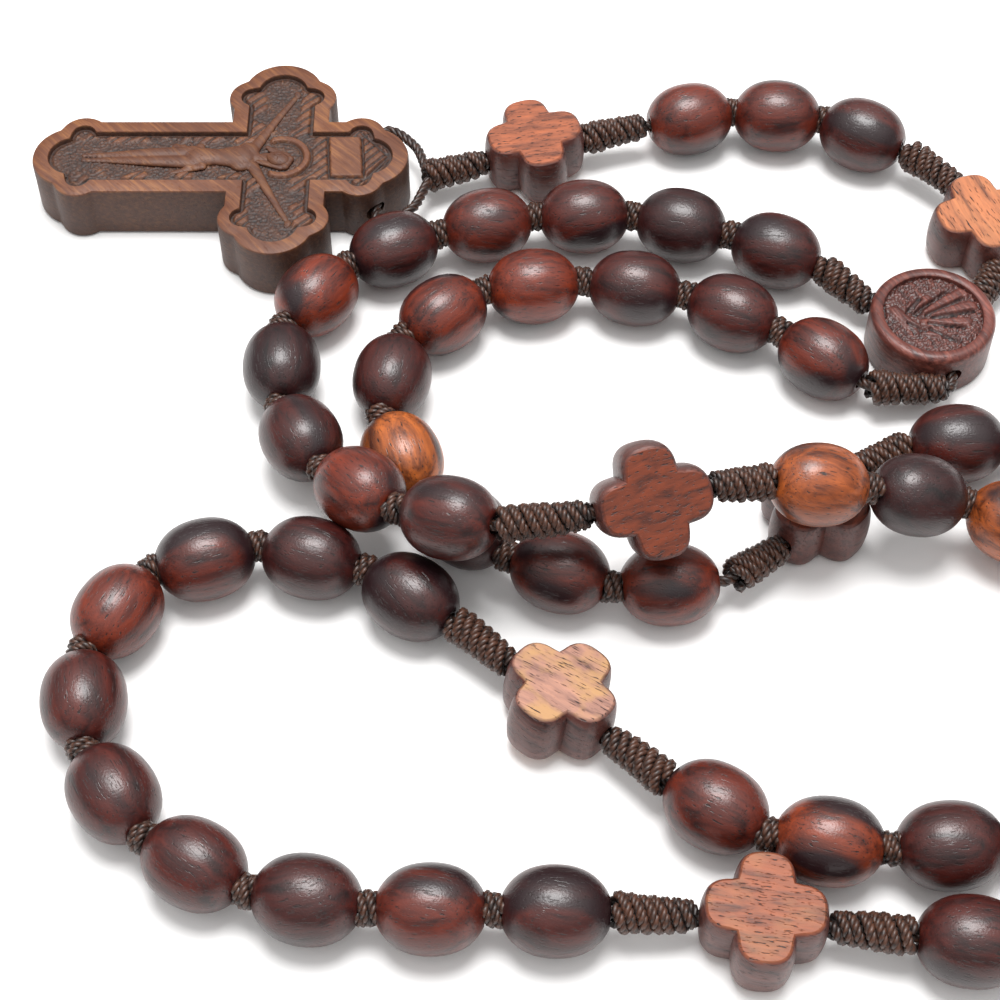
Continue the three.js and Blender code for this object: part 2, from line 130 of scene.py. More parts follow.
class Piece:
    """Something on the strand: its kind, length, the gap after it, and, once laid, its place."""

    def __init__(self, kind, length, name="", roll=0, gap_after=None, fold_before=False):
        self.kind = kind
        self.length = length
        self.name = name
        self.roll = roll
        self.gap_after = gap_after
        self.fold_before = fold_before
        self.centre = self.axis = self.start = self.end = None

    def frame(self):
        """Local X along the strand and local Z as near up as it can be, rolled about X."""
        side = Vector((0, 0, 1)).cross(self.axis).normalized()
        up = self.axis.cross(side)
        turned = Matrix((self.axis, side, up)).transposed() @ Matrix.Rotation(math.radians(self.roll), 3, "X")
        return Matrix.Translation(self.centre) @ turned.to_4x4()


def oval(name, **extra):
    return Piece("oval", OVAL_LENGTH, name, **extra)


def cross(name, roll=0, **extra):
    return Piece("cross", CROSS_SPAN, name, roll, **extra)


def knot(longer=0.0, **extra):
    return Piece("knot", KNOT_LENGTH + longer * MM, **extra)


def decade(number):
    return [oval(f"decade{number}_bead{i:02d}") for i in range(1, 11)]


def loop_pieces():
    fifth = decade(5)[::-1]
    fifth[-1].gap_after = BEND_GAP
    return [
        knot(), *decade(1), knot(1.5), cross("cross_bead_1", 42), knot(-0.9),
        *decade(2), knot(), cross("cross_bead_2", 10), knot(),
        *decade(3), knot(), cross("cross_bead_3"), knot(),
        *decade(4), knot(), cross("cross_bead_4"), knot(-0.8, gap_after=BEND_GAP),
        *fifth, knot(0.9, gap_after=RIM_GAP),
    ]


def pendant_pieces():
    return [
        knot(-1.7, gap_after=BEND_GAP), cross("cross_bead_6", gap_after=BEND_GAP), knot(),
        oval("pendant_bead3", fold_before=True), oval("pendant_bead2"), oval("pendant_bead1"),
        knot(fold_before=True), cross("cross_bead_5"), knot(),
    ]


def gap_between(a, b):
    if b and b.fold_before:
        return FOLD_GAP
    if a and a.gap_after:
        return a.gap_after
    return OVAL_GAP if a and b and a.kind == b.kind == "oval" else KNOT_GAP


def smooth_route(points, steps=4000):
    """A centripetal Catmull-Rom curve through the points, as an array of close points."""
    p = np.array([tuple(v) for v in points], float)
    p = np.vstack([2 * p[0] - p[1], p, 2 * p[-1] - p[-2]])
    spans = len(p) - 3
    line = []
    for i in range(steps + 1):
        at = min(i / steps * spans, spans - 1e-9)
        k = int(at)
        w = at - k
        x0, x1, x2, x3 = p[k : k + 4]
        d0, d1, d2 = (float(np.sum((b - a) ** 2)) ** 0.25 for a, b in ((x0, x1), (x1, x2), (x2, x3)))
        t1 = ((x1 - x0) / d0 - (x2 - x0) / (d0 + d1) + (x2 - x1) / d1) * d1
        t2 = ((x2 - x1) / d1 - (x3 - x1) / (d1 + d2) + (x3 - x2) / d2) * d1
        line.append(
            x1 + t1 * w + (3 * x2 - 3 * x1 - 2 * t1 - t2) * w**2 + (2 * x1 - 2 * x2 + t1 + t2) * w**3
        )
    return np.array(line)


def lay(pieces, points, ties=None):
    """Places the pieces along the route, and returns the kinks between them.
    A tied piece's middle lies at its own distance along the route, and between two of these the gaps share
    the route's spare length."""
    line = smooth_route(points)
    travelled = np.concatenate([[0], np.cumsum(np.linalg.norm(np.diff(line, axis=0), axis=1))])
    gaps = [gap_between(a, b) for a, b in zip([None, *pieces], [*pieces, None])]
    ties = ties or {}
    first_gap, run_start, taken = 0, 0.0, 0.0
    for i, piece in enumerate([*pieces, None]):
        tie = ties.get(piece.name) if piece else travelled[-1]
        if tie is None:
            taken += piece.length
            continue
        half = piece.length / 2 if piece else 0
        share = (tie - run_start - taken - half) / sum(gaps[first_gap : i + 1])
        gaps[first_gap : i + 1] = [gap * share for gap in gaps[first_gap : i + 1]]
        first_gap, run_start, taken = i + 1, tie, half

    def at(distance):
        return Vector([float(np.interp(distance, travelled, line[:, k])) for k in range(3)])

    reached = gaps[0] / 2
    stations = [at(reached)]
    for i, piece in enumerate(pieces):
        before, after = gaps[i] / 2, gaps[i + 1] / 2
        reached += before + piece.length + after
        stations.append(at(reached))
        piece.start, piece.end = stations[-2:]
        piece.axis = (piece.end - piece.start).normalized()
        middle = (before + piece.length / 2) / (before + piece.length + after)
        piece.centre = piece.start.lerp(piece.end, middle)
    return stations


def rim(hole, radius):
    """A point at half the medal's height, at a hole's bearing."""
    turn = math.radians(MEDAL_HOLES[hole])
    return Vector((radius * math.cos(turn), radius * math.sin(turn), MEDAL_T / 2))


def on_table(point):
    x, y, lift = point
    return Vector((x * MM, y * MM, OVAL_D / 2 + TABLE_CLEARANCE + lift * MM))


LOOP = loop_pieces()
PENDANT = pendant_pieces()
PENDANT_END = HEAD_TIP + Vector((TIP_TO_KNOT, 0, 0))
loop_line = [rim("first", MEDAL_R), *map(on_table, LOOP_ROUTE), rim("last", MEDAL_R)]
pendant_line = [rim("pendant", MEDAL_R), *map(on_table, PENDANT_ROUTE), PENDANT_END]
loop_stations = lay(LOOP, loop_line, LOOP_TIES)
pendant_stations = lay(PENDANT, pendant_line)
folds = [i for i, piece in enumerate(PENDANT) if piece.fold_before]

bodies = frame["record"]["behaviour"]["bodies"]
node_body = {node: body for body, nodes in bodies.items() for node in nodes}
# The beads that the model keeps together as two nodes.
HIDDEN_BEADS = {
    f"decade4_bead{i:02d}": "decade4_beads02to05" if i < 6 else "decade4_beads06to09" for i in range(2, 10)
}


# ---- small helpers ----
def deselect():
    if bpy.context.object and bpy.context.object.mode != "OBJECT":
        bpy.ops.object.mode_set(mode="OBJECT")
    bpy.ops.object.select_all(action="DESELECT")


def pick(obj):
    """Makes obj the only selected object, and the active one."""
    deselect()
    obj.select_set(True)
    bpy.context.view_layer.objects.active = obj
    return obj


def select_where(obj, wanted, kind="FACE"):
    """In edit mode, selects the faces or vertices whose place or normal passes the test."""
    mesh = bmesh.from_edit_mesh(obj.data)
    bpy.ops.mesh.select_mode(type=kind)
    bpy.ops.mesh.select_all(action="DESELECT")
    for item in mesh.faces if kind == "FACE" else mesh.verts:
        item.select = bool(wanted(item))
    mesh.select_flush_mode()
    bmesh.update_edit_mesh(obj.data)


def apply_modifier(obj, kind, **settings):
    pick(obj)
    modifier = obj.modifiers.new(kind.title(), kind)
    for key, value in settings.items():
        setattr(modifier, key, value)
    bpy.ops.object.modifier_apply(modifier=modifier.name)


def smooth(obj, degrees=180):
    pick(obj)
    if degrees >= 180:
        bpy.ops.object.shade_smooth()
    else:
        bpy.ops.object.shade_smooth_by_angle(angle=math.radians(degrees))


def tidy_normals(obj):
    pick(obj)
    bpy.ops.object.mode_set(mode="EDIT")
    bpy.ops.mesh.select_all(action="SELECT")
    bpy.ops.mesh.remove_doubles(threshold=MERGE_WITHIN)
    bpy.ops.mesh.normals_make_consistent(inside=False)
    bpy.ops.object.mode_set(mode="OBJECT")


def points_of(mesh):
    co = np.zeros(len(mesh.vertices) * 3, np.float32)
    mesh.vertices.foreach_get("co", co)
    return co.reshape(-1, 3)


def note(mesh, name, values):
    """Stores one number or one vector for each point of the mesh, for its material to read."""
    values = np.asarray(values, np.float32)
    kind, field = ("FLOAT_VECTOR", "vector") if values.ndim == 2 else ("FLOAT", "value")
    attribute = mesh.attributes.new(name, kind, "POINT")
    attribute.data.foreach_set(field, values.ravel())


def copy_of(master, name, place):
    """A copy of a piece with its own mesh, put in its place by moving the mesh's points."""
    made = master.copy()
    made.data = master.data.copy()
    made.name = made.data.name = name
    bpy.context.scene.collection.objects.link(made)
    made.data.transform(place)
    return made


def finish_piece(obj, material, body, replaced=()):
    obj.data.materials.clear()
    obj.data.materials.append(material)
    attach(obj, body)
    if replaced:
        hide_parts(*replaced)


def node(tree, kind, inputs=(), stops=(), **settings):
    """Adds a node, with its settings, its colour stops if it has any, and its inputs set or linked."""
    made = tree.nodes.new(kind)
    for key, value in settings.items():
        setattr(made, key, value)
    for i, (position, colour) in enumerate(stops):
        element = made.color_ramp.elements[i] if i < 2 else made.color_ramp.elements.new(position)
        element.position = position
        element.color = (*colour, 1)
    for key, value in dict(inputs).items():
        if isinstance(value, bpy.types.NodeSocket):
            tree.links.new(value, made.inputs[key])
        else:
            made.inputs[key].default_value = value
    return made


def new_material(name):
    """An empty node material and its tree, with only the output and the main shader."""
    material = bpy.data.materials.new(name)
    material.use_nodes = True
    return material, material.node_tree, material.node_tree.nodes["Principled BSDF"]


BLACK, WHITE = (0, 0, 0), (1, 1, 1)


# ---- materials ----
def wood_figure(tree, coords, along=0.11, across=0.85, warp=0.5):
    """Streaks along local X, as a number from 0, dark late wood, to 1, light early wood.
    One noise unit is 1 / across mm over the grain and 1 / along mm with it."""
    bend = node(tree, "ShaderNodeTexNoise", {"Vector": coords, "Scale": 0.16, "Detail": 2.0})
    shift = node(tree, "ShaderNodeVectorMath", {0: bend.outputs["Color"], 1: (warp, 4 * warp, 4 * warp)},
                 operation="MULTIPLY")
    moved = node(tree, "ShaderNodeVectorMath", {0: coords, 1: shift.outputs[0]}, operation="ADD")
    stretched = node(tree, "ShaderNodeMapping",
                     {"Vector": moved.outputs[0], "Scale": (along, across, across)})
    return node(tree, "ShaderNodeTexNoise", {
        "Vector": stretched.outputs[0], "Scale": 1.0, "Detail": 7.0, "Roughness": 0.62, "Distortion": 0.4,
    })


def wood_pores(tree, coords, along=0.7, across=5.5):
    """Short dark vessel lines, about 0.15 mm wide and 1.5 mm long, as drawn here to show."""
    stretched = node(tree, "ShaderNodeMapping", {"Vector": coords, "Scale": (along, across, across)})
    cells = node(tree, "ShaderNodeTexNoise", {"Vector": stretched.outputs[0], "Scale": 1.0, "Detail": 2.0})
    return node(tree, "ShaderNodeValToRGB", {"Fac": cells.outputs["Fac"]}, [(0.6, BLACK), (0.7, WHITE)])


def note_inputs(tree, *names):
    """The sockets that read the notes stored on a mesh: a place, a colour, or else a number."""
    fields = {"grain_mm": "Vector", "stain": "Color"}
    return [
        node(tree, "ShaderNodeAttribute", attribute_name=name).outputs[fields.get(name, "Fac")]
        for name in names
    ]


def wood_relief(tree, shader, height, pores, strength, distance):
    """Lets the streaks stand up a little and sinks the vessels."""
    relief = node(tree, "ShaderNodeMath", {0: height, 1: pores.outputs["Color"]}, operation="SUBTRACT")
    bump = node(tree, "ShaderNodeBump",
                {"Height": relief.outputs[0], "Strength": strength, "Distance": distance})
    tree.links.new(bump.outputs["Normal"], shader.inputs["Normal"])


def polished_rosewood(look):
    """Rosewood turned on a lathe and polished with wax: dark red-brown streaks under a soft gloss."""
    material, tree, shader = new_material("turned_rosewood_waxed")
    coords, tone = note_inputs(tree, "grain_mm", "tone")
    figure = wood_figure(tree, coords)
    light = node(tree, "ShaderNodeValToRGB", {"Fac": tone}, [
        (0.0, look.darkest), (1.0, look.lightest), (0.4, look.dark), (0.7, look.red),
    ])
    streak = node(tree, "ShaderNodeValToRGB", {"Fac": figure.outputs["Fac"]},
                  [(0.34, (0.22, 0.17, 0.2)), (0.66, (1.35, 1.3, 1.15)), (0.5, (0.85, 0.8, 0.8))])
    streaked = node(tree, "ShaderNodeMix",
                    {"Factor": 1.0, "A": light.outputs["Color"], "B": streak.outputs["Color"]},
                    data_type="RGBA", blend_type="MULTIPLY")
    wide = node(tree, "ShaderNodeMapping", {"Vector": coords, "Scale": (0.03, 0.2, 0.2)})
    bands = node(tree, "ShaderNodeTexNoise", {"Vector": wide.outputs[0], "Scale": 1.0, "Detail": 1.0})
    heart = node(tree, "ShaderNodeValToRGB", {"Fac": bands.outputs["Fac"]}, [(0.36, BLACK), (0.46, WHITE)])
    whole = node(tree, "ShaderNodeMix",
                 {"Factor": heart.outputs["Color"], "A": (*look.darkest, 1), "B": streaked.outputs[2]},
                 data_type="RGBA")
    pores = wood_pores(tree, coords)
    coloured = node(tree, "ShaderNodeMix",
                    {"Factor": pores.outputs["Color"], "A": whole.outputs[2], "B": (*look.pore, 1)},
                    data_type="RGBA")
    tree.links.new(coloured.outputs[2], shader.inputs["Base Color"])
    rough = node(tree, "ShaderNodeMapRange",
                 {"Value": figure.outputs["Fac"], "To Min": 0.38, "To Max": 0.27})
    tree.links.new(rough.outputs[0], shader.inputs["Roughness"])
    tooth = node(tree, "ShaderNodeTexNoise", {"Vector": coords, "Scale": 4.5, "Detail": 2.0})
    raised = node(tree, "ShaderNodeMath", {0: figure.outputs["Fac"], 1: tooth.outputs["Fac"]},
                  operation="ADD")
    wood_relief(tree, shader, raised.outputs[0], pores, 0.4, 0.05 * MM)
    shader.inputs["IOR"].default_value = 1.55
    return material


def sanded_rosewood(look):
    """Rosewood sawn flat and sanded on its faces, with its side walls darker, where the wax lies thicker."""
    material, tree, shader = new_material("sanded_rosewood_waxed")
    coords, stain, face, patch = note_inputs(tree, "grain_mm", "stain", "face", "patch")
    figure = wood_figure(tree, coords, 0.1, 1.3, 0.35)
    streak = node(tree, "ShaderNodeValToRGB", {"Fac": figure.outputs["Fac"]},
                  [(0.32, (0.3, 0.26, 0.3)), (0.7, (1.35, 1.3, 1.2)), (0.48, (0.9, 0.88, 0.88))])
    streaked = node(tree, "ShaderNodeMix", {"Factor": 1.0, "A": stain, "B": streak.outputs["Color"]},
                    data_type="RGBA", blend_type="MULTIPLY")
    cloud = node(tree, "ShaderNodeTexNoise", {"Vector": coords, "Scale": 0.28, "Detail": 3.0})
    pale = node(tree, "ShaderNodeMapRange",
                {"Value": cloud.outputs["Fac"], "From Min": 0.48, "From Max": 0.62})
    yellow = node(tree, "ShaderNodeMath", {0: pale.outputs[0], 1: patch}, operation="MULTIPLY")
    sapwood = node(tree, "ShaderNodeMix",
                   {"Factor": yellow.outputs[0], "A": streaked.outputs[2], "B": (*look.sapwood, 1)},
                   data_type="RGBA")
    wall = node(tree, "ShaderNodeMix", {"Factor": 1.0, "A": (*look.wall, 1), "B": streak.outputs["Color"]},
                data_type="RGBA", blend_type="MULTIPLY")
    both = node(tree, "ShaderNodeMix", {"Factor": face, "A": wall.outputs[2], "B": sapwood.outputs[2]},
                data_type="RGBA")
    pores = wood_pores(tree, coords)
    coloured = node(tree, "ShaderNodeMix",
                    {"Factor": pores.outputs["Color"], "A": both.outputs[2], "B": (*look.pore, 1)},
                    data_type="RGBA")
    tree.links.new(coloured.outputs[2], shader.inputs["Base Color"])
    rough = node(tree, "ShaderNodeMapRange", {"Value": face, "To Min": 0.36, "To Max": 0.52})
    tree.links.new(rough.outputs[0], shader.inputs["Roughness"])
    wood_relief(tree, shader, figure.outputs["Fac"], pores, 0.6, 0.08 * MM)
    shader.inputs["IOR"].default_value = 1.5
    return material


def carved_wood(name, look, turn, gloss):
    """Carved hardwood: plain grain on what stands proud, and a singed ground where the burn note is high."""
    material, tree, shader = new_material(name)
    place = node(tree, "ShaderNodeTexCoord").outputs["Object"]
    in_mm = {"Vector": place, "Rotation": (0, 0, math.radians(turn)), "Scale": (1 / MM,) * 3}
    coords = node(tree, "ShaderNodeMapping", in_mm).outputs[0]
    (burn,) = note_inputs(tree, "burn")
    figure = wood_figure(tree, coords, 0.16, 2.2, 0.25)
    grain = node(tree, "ShaderNodeValToRGB", {"Fac": figure.outputs["Fac"]},
                 [(0.3, look.late), (0.68, look.early), (0.5, look.middle)])
    cloud = node(tree, "ShaderNodeTexNoise", {"Vector": coords, "Scale": 0.12, "Detail": 2.0})
    shade = node(tree, "ShaderNodeValToRGB", {"Fac": cloud.outputs["Fac"]},
                 [(0.35, (0.72, 0.66, 0.62)), (0.65, WHITE)])
    plain = node(tree, "ShaderNodeMix",
                 {"Factor": 1.0, "A": grain.outputs["Color"], "B": shade.outputs["Color"]},
                 data_type="RGBA", blend_type="MULTIPLY")
    soot = node(tree, "ShaderNodeTexNoise", {"Vector": coords, "Scale": 2.6, "Detail": 3.0})
    singed = node(tree, "ShaderNodeValToRGB", {"Fac": soot.outputs["Fac"]},
                  [(0.35, look.soot), (0.7, look.singed)])
    coloured = node(tree, "ShaderNodeMix",
                    {"Factor": burn, "A": plain.outputs[2], "B": singed.outputs["Color"]}, data_type="RGBA")
    tree.links.new(coloured.outputs[2], shader.inputs["Base Color"])
    pores = wood_pores(tree, coords, 0.9, 5)
    wood_relief(tree, shader, figure.outputs["Fac"], pores, 0.5, 0.06 * MM)
    shader.inputs["Roughness"].default_value = gloss
    shader.inputs["IOR"].default_value = 1.5
    return material


def twisted_nylon(look):
    """Twisted nylon cord, a little silky: painted shade darkens the valleys between its turns, and a painted
    coppery highlight lies on their crests.
    """
    material, tree, shader = new_material("twisted_nylon")
    place = node(tree, "ShaderNodeTexCoord").outputs["Object"]
    # This note sets the painted light: low values give painted shade in the valleys, high values a painted
    # coppery highlight on the crests.
    (crest,) = note_inputs(tree, "crest")
    fibres = node(tree, "ShaderNodeTexNoise", {"Vector": place, "Scale": 2.2 / MM, "Detail": 2.0})
    lit = node(tree, "ShaderNodeMath", {0: crest, 1: fibres.outputs["Fac"]}, operation="MULTIPLY")
    # Colour stops: painted shade in the valleys, the cord's own brown, and a painted coppery highlight on the
    # crests.
    colour = node(tree, "ShaderNodeValToRGB", {"Fac": lit.outputs[0]},
                  [(0.05, look.painted_valley_shade), (0.62, look.crest), (0.3, look.middle)])
    tree.links.new(colour.outputs["Color"], shader.inputs["Base Color"])
    bump = node(tree, "ShaderNodeBump",
                {"Height": fibres.outputs["Fac"], "Strength": 0.5, "Distance": 0.05 * MM})
    tree.links.new(bump.outputs["Normal"], shader.inputs["Normal"])
    shader.inputs["Roughness"].default_value = 0.42
    shader.inputs["IOR"].default_value = 1.53
    shader.inputs["Sheen Weight"].default_value = 0.05
    shader.inputs["Sheen Roughness"].default_value = 0.4
    return material


# ---- cords and knots ----
KNOT_STARTS = 3  # turns of cord that run side by side round a knot
KNOT_STEPS = 60  # points along each of them
KNOT_STEP = 0.26 * MM  # and how far apart they are once they are evenly spaced
CORD_STEP = 0.4 * MM
KNOT_OVERLAP = 1.1 * MM  # how much longer a wrapped knot is drawn, so that it meets its neighbours


def resampled(line, step):
    """The same line as evenly spaced points, about step apart."""
    line = np.array([tuple(p) for p in line], float)
    travelled = np.concatenate([[0], np.cumsum(np.linalg.norm(np.diff(line, axis=0), axis=1))])
    even = np.linspace(0, travelled[-1], max(3, round(travelled[-1] / step) + 1))
    return np.stack([np.interp(even, travelled, line[:, k]) for k in range(3)], axis=1)


def rounded(stations, reach=1.1 * MM):
    """The line through the stations, with each kink rounded off."""
    line = [stations[0]]
    for before, here, after in zip(stations, stations[1:], stations[2:]):
        a = here + (before - here).normalized() * min(reach, (before - here).length / 3)
        b = here + (after - here).normalized() * min(reach, (after - here).length / 3)
        for w in (0, 0.25, 0.5, 0.75, 1):
            line.append(a.lerp(here, w).lerp(here.lerp(b, w), w))
    return [*line, stations[-1]]


def plies(line, offset, pitch, phase=0.0, count=3):
    """Strands twisted together round a line of even points."""
    step = np.linalg.norm(line[1] - line[0])
    tangents = np.gradient(line, axis=0)
    tangents /= np.linalg.norm(tangents, axis=1)[:, None]
    side = np.cross(tangents[0], (0.31, 0.17, 0.93))
    strands = [[] for _ in range(count)]
    for i, (point, tangent) in enumerate(zip(line, tangents)):
        side = side - tangent * np.dot(side, tangent)
        side /= np.linalg.norm(side)
        across = np.cross(tangent, side)
        for k, strand in enumerate(strands):
            turn = phase + 2 * math.pi * (i * step / pitch + k / count)
            strand.append(point + offset * (side * math.cos(turn) + across * math.sin(turn)))
    return strands


def tubes(name, strands, radius):
    """Round tubes along the strands, drawn as curves with a bevel and made one mesh."""
    curve = bpy.data.curves.new(name, "CURVE")
    curve.dimensions = "3D"
    curve.bevel_depth = radius
    curve.bevel_resolution = 1
    curve.use_fill_caps = True
    for strand in strands:
        spline = curve.splines.new("POLY")
        spline.points.add(len(strand) - 1)
        spline.points.foreach_set("co", np.hstack([np.array(strand), np.ones((len(strand), 1))]).ravel())
    made = bpy.data.objects.new(name, curve)
    bpy.context.scene.collection.objects.link(made)
    pick(made)
    bpy.ops.object.convert(target="MESH")
    made = bpy.context.object
    made.data.name = name
    smooth(made)
    return made


def wound_strands(centre, axis, length, fat, slim, cord, draw):
    """The strands of a knot wound from the cord, side by side, from its one end to its other."""
    side = axis.cross(Vector((0.2, 0.1, 1))).normalized()
    across = axis.cross(side)
    lead = KNOT_STARTS * cord.diameter * 0.98
    strands = []
    for start in range(KNOT_STARTS):
        line = []
        lean = draw.uniform(-0.25, 0.25)
        for i in range(KNOT_STEPS + 1):
            s = i / KNOT_STEPS
            tuck = min(1.0, 5 * min(s, 1 - s) + cord.tuck)
            swell = 1 + 0.05 * math.sin(2 * math.pi * (1.7 * s + start / KNOT_STARTS + lean))
            radius = (fat + (slim - fat) * s) * tuck * swell - cord.diameter / 2
            turn = 2 * math.pi * (s * length / lead + start / KNOT_STARTS) + lean + centre.x * 900
            out = (side * math.cos(turn) + across * math.sin(turn)) * max(radius, 0.12 * MM)
            line.append(centre + axis * (s - 0.5) * (length - 0.5 * cord.diameter) + out)
        strands += plies(resampled(line, KNOT_STEP), cord.ply_offset, cord.ply_pitch, draw.uniform(0, 6))
    return strands


def note_painted_shade_and_highlight(obj, spots):
    """Stores how far each point stands out from its knot's axis: 0 in the core, 1 on the crests, for the
    material's painted shade in the valleys and painted highlight on the crests.
    """
    co = points_of(obj.data).astype(float)
    best = np.full(len(co), 1e9)
    crest = np.full(len(co), 0.6)
    for centre, axis, reach in spots:
        off = co - np.array(centre)
        near = np.linalg.norm(off, axis=1)
        along = off @ np.array(axis)
        out = np.linalg.norm(off - np.outer(along, np.array(axis)), axis=1)
        mine = near < best
        best[mine] = near[mine]
        crest[mine] = np.clip((out[mine] - reach + 0.85 * MM) / (0.8 * MM), 0, 1)
    note(obj.data, "crest", crest)


def knot_spots(pieces):
    """Where a run's knots go: wrapped ones in place of a knot piece, small ones between two ovals."""
    wrapped, small = [], []
    for i, piece in enumerate(pieces):
        after = pieces[i + 1] if i + 1 < len(pieces) else None
        before = pieces[i - 1] if i else None
        if piece.kind == "knot":
            fat_first = before is not None and before.kind == "oval"
            wrapped.append((piece.centre, piece.axis, piece.length, fat_first))
        elif piece.kind == "oval" and after and after.kind == "oval":
            small.append((piece.end, (piece.axis + after.axis).normalized()))
    return wrapped, small


def make_knots(name, pieces, body, cord, material):
    """All the knots of one length of cord, wrapped and small, as one piece for each kind."""
    draw = random.Random(name)
    wrapped, small = knot_spots(pieces)
    kinds = {"_wrapped_knots": [], "_small_knots": []}
    for centre, axis, length, fat_first in wrapped:
        ends = (cord.knot_fat, cord.knot_slim) if fat_first else (cord.knot_slim, cord.knot_fat)
        kinds["_wrapped_knots"].append((centre, axis, length + KNOT_OVERLAP, ends[0] / 2, ends[1] / 2))
    for centre, axis in small:
        half = cord.small_knot / 2
        kinds["_small_knots"].append((centre, axis, cord.small_knot_length, half, half))
    made = []
    for suffix, knots in kinds.items():
        if knots:
            strands = [strand for spec in knots for strand in wound_strands(*spec, cord, draw)]
            made.append(tubes(name + suffix, strands, cord.ply_radius))
            # Painted shade and painted highlight for the turns of these knots.
            note_painted_shade_and_highlight(made[-1], [(centre, axis, min(ends)) for centre, axis, _, *ends in knots])
    for obj in made:
        finish_piece(obj, material, body)
    return made


def make_cord(name, stations, body, cord, material):
    """One length of twisted cord, in place of the model's node of that name."""
    line = resampled(rounded(stations), CORD_STEP)
    obj = tubes(name + "_twisted", plies(line, cord.ply_offset, cord.twist_pitch), cord.twist_ply)
    # The plain cord gets one even level of the painted shade and highlight mix, which keeps it near the
    # cord's own brown.
    note(obj.data, "crest", np.full(len(obj.data.vertices), 0.75))
    finish_piece(obj, material, body, [name])


# ---- settings, as a user of the add-on would change them ----
def colour_setting(name, description, hex_colour):
    return FloatVectorProperty(name=name, description=description, default=paint(hex_colour),
                               size=3, min=0, max=1, subtype="COLOR")


def size_setting(name, description, value):
    return FloatProperty(name=name, description=description, default=value, min=0, unit="LENGTH", precision=5)


class RosaryOvalSettings(bpy.types.PropertyGroup):
    diameter: size_setting("Diameter", "Across a turned bead's middle", 8.0 * MM)
    end_diameter: size_setting("End diameter", "Across the flat at each end of a bead", 2.9 * MM)
    bore: size_setting("Bore", "Diameter of the hole along a bead", 1.7 * MM)
    segments: IntProperty(name="Segments", description="Faces round a bead", default=44, min=12)
    rings: IntProperty(name="Rings", description="Faces along a bead", default=26, min=8)
    fullness: FloatProperty(name="Fullness", description="How much fuller than an ellipse a bead's ends are",
                            default=0.025, min=0, subtype="FACTOR")
    darkest: colour_setting("Darkest", "Near-black plum of the darkest beads", 0x221013)
    dark: colour_setting("Dark", "Dark rosewood", 0x451813)
    red: colour_setting("Red", "Reddish brown", 0x702A16)
    lightest: colour_setting("Lightest", "Orange-brown of the lightest beads", 0xB0622C)
    pore: colour_setting("Pore", "Inside of the open vessels", 0x1C0D0B)


class RosaryCrossSettings(bpy.types.PropertyGroup):
    lobe_radius: size_setting("Lobe radius", "Radius of each of the four lobes", 2.95 * MM)
    lobe_flank: size_setting("Lobe flank", "How much narrower a lobe is across than along", 0.2 * MM)
    bluntness: FloatProperty(name="Bluntness", description="2 for round lobes, more for blunter ones",
                             default=2.6, min=2)
    bore: size_setting("Bore", "Diameter of the hole through a cross bead", 1.9 * MM)
    bulge: size_setting("Bulge", "How far a side wall swells beyond the face", 0.6 * MM)
    sapwood: colour_setting("Sapwood", "Yellowish patch of sapwood on a face", 0xB88C5C)
    wall: colour_setting("Side wall", "Waxed end grain of the side walls", 0x57302A)
    pore: colour_setting("Pore", "Inside of the open vessels", 0x2A1410)


class RosaryCordSettings(bpy.types.PropertyGroup):
    diameter: size_setting("Diameter", "Across the twisted cord", CORD_D)
    ply_radius: size_setting("Ply radius", "Radius of each of its plies", 0.27 * MM)
    twist_ply: size_setting("Twist ply", "Radius of each ply of the cord itself", 0.32 * MM)
    ply_offset: size_setting("Ply offset", "From the cord's middle to a ply's middle", 0.28 * MM)
    ply_pitch: size_setting("Ply pitch", "Length of one turn of the plies in a knot", 1.7 * MM)
    tuck: FloatProperty(name="Tuck", description="How much of its width a knot keeps at its ends",
                        default=0.72, min=0, max=1, subtype="FACTOR")
    twist_pitch: size_setting("Twist pitch", "Length of one turn of the plies along the cord", 2.6 * MM)
    knot_fat: size_setting("Fat end", "Across the fat end of a wrapped knot", 3.9 * MM)
    knot_slim: size_setting("Slim end", "Across the slim end of a wrapped knot", 3.1 * MM)
    small_knot: size_setting("Small knot", "Across a knot between two ovals", 3.3 * MM)
    small_knot_length: size_setting("Small knot length", "Along the strand", 2.3 * MM)
    fold_overlap: size_setting("Fold overlap", "How far two cords run into each other at a fold", 0.4 * MM)
    # Valley is painted shade between the turns; Crest is a painted coppery highlight on them; Middle is the
    # cord's own brown.
    painted_valley_shade: colour_setting("Valley", "In the shade between turns", 0x0C0604)
    middle: colour_setting("Middle", "The cord's own brown", 0x1F100A)
    crest: colour_setting("Crest", "Coppery crests", 0x4E2D1D)


class RosaryMedalSettings(bpy.types.PropertyGroup):
    rim: size_setting("Rim", "Width of the raised rim", 1.3 * MM)
    recess: size_setting("Recess", "Depth of the carved field below the rim", 0.42 * MM)
    edge: size_setting("Edge", "Rounding of the top edge", 0.7 * MM)
    bore: size_setting("Bore", "Diameter of the three holes for the cord", 1.9 * MM)
    segments: IntProperty(name="Segments", description="Faces round the medal", default=96, min=24)
    wall_burn: FloatProperty(name="Wall burn", description="How dark the side wall is",
                             default=0.55, subtype="FACTOR")
    cell: size_setting("Carving cell", "Spacing of the points of the carved field", 0.11 * MM)
    late: colour_setting("Late wood", "Dark streaks", 0x3A1A18)
    middle: colour_setting("Middle wood", "Between streaks", 0x66342C)
    early: colour_setting("Early wood", "Light streaks", 0x8C5044)
    soot: colour_setting("Soot", "Deepest burn", 0x140C0C)
    singed: colour_setting("Singed", "Light burn", 0x4A2A25)


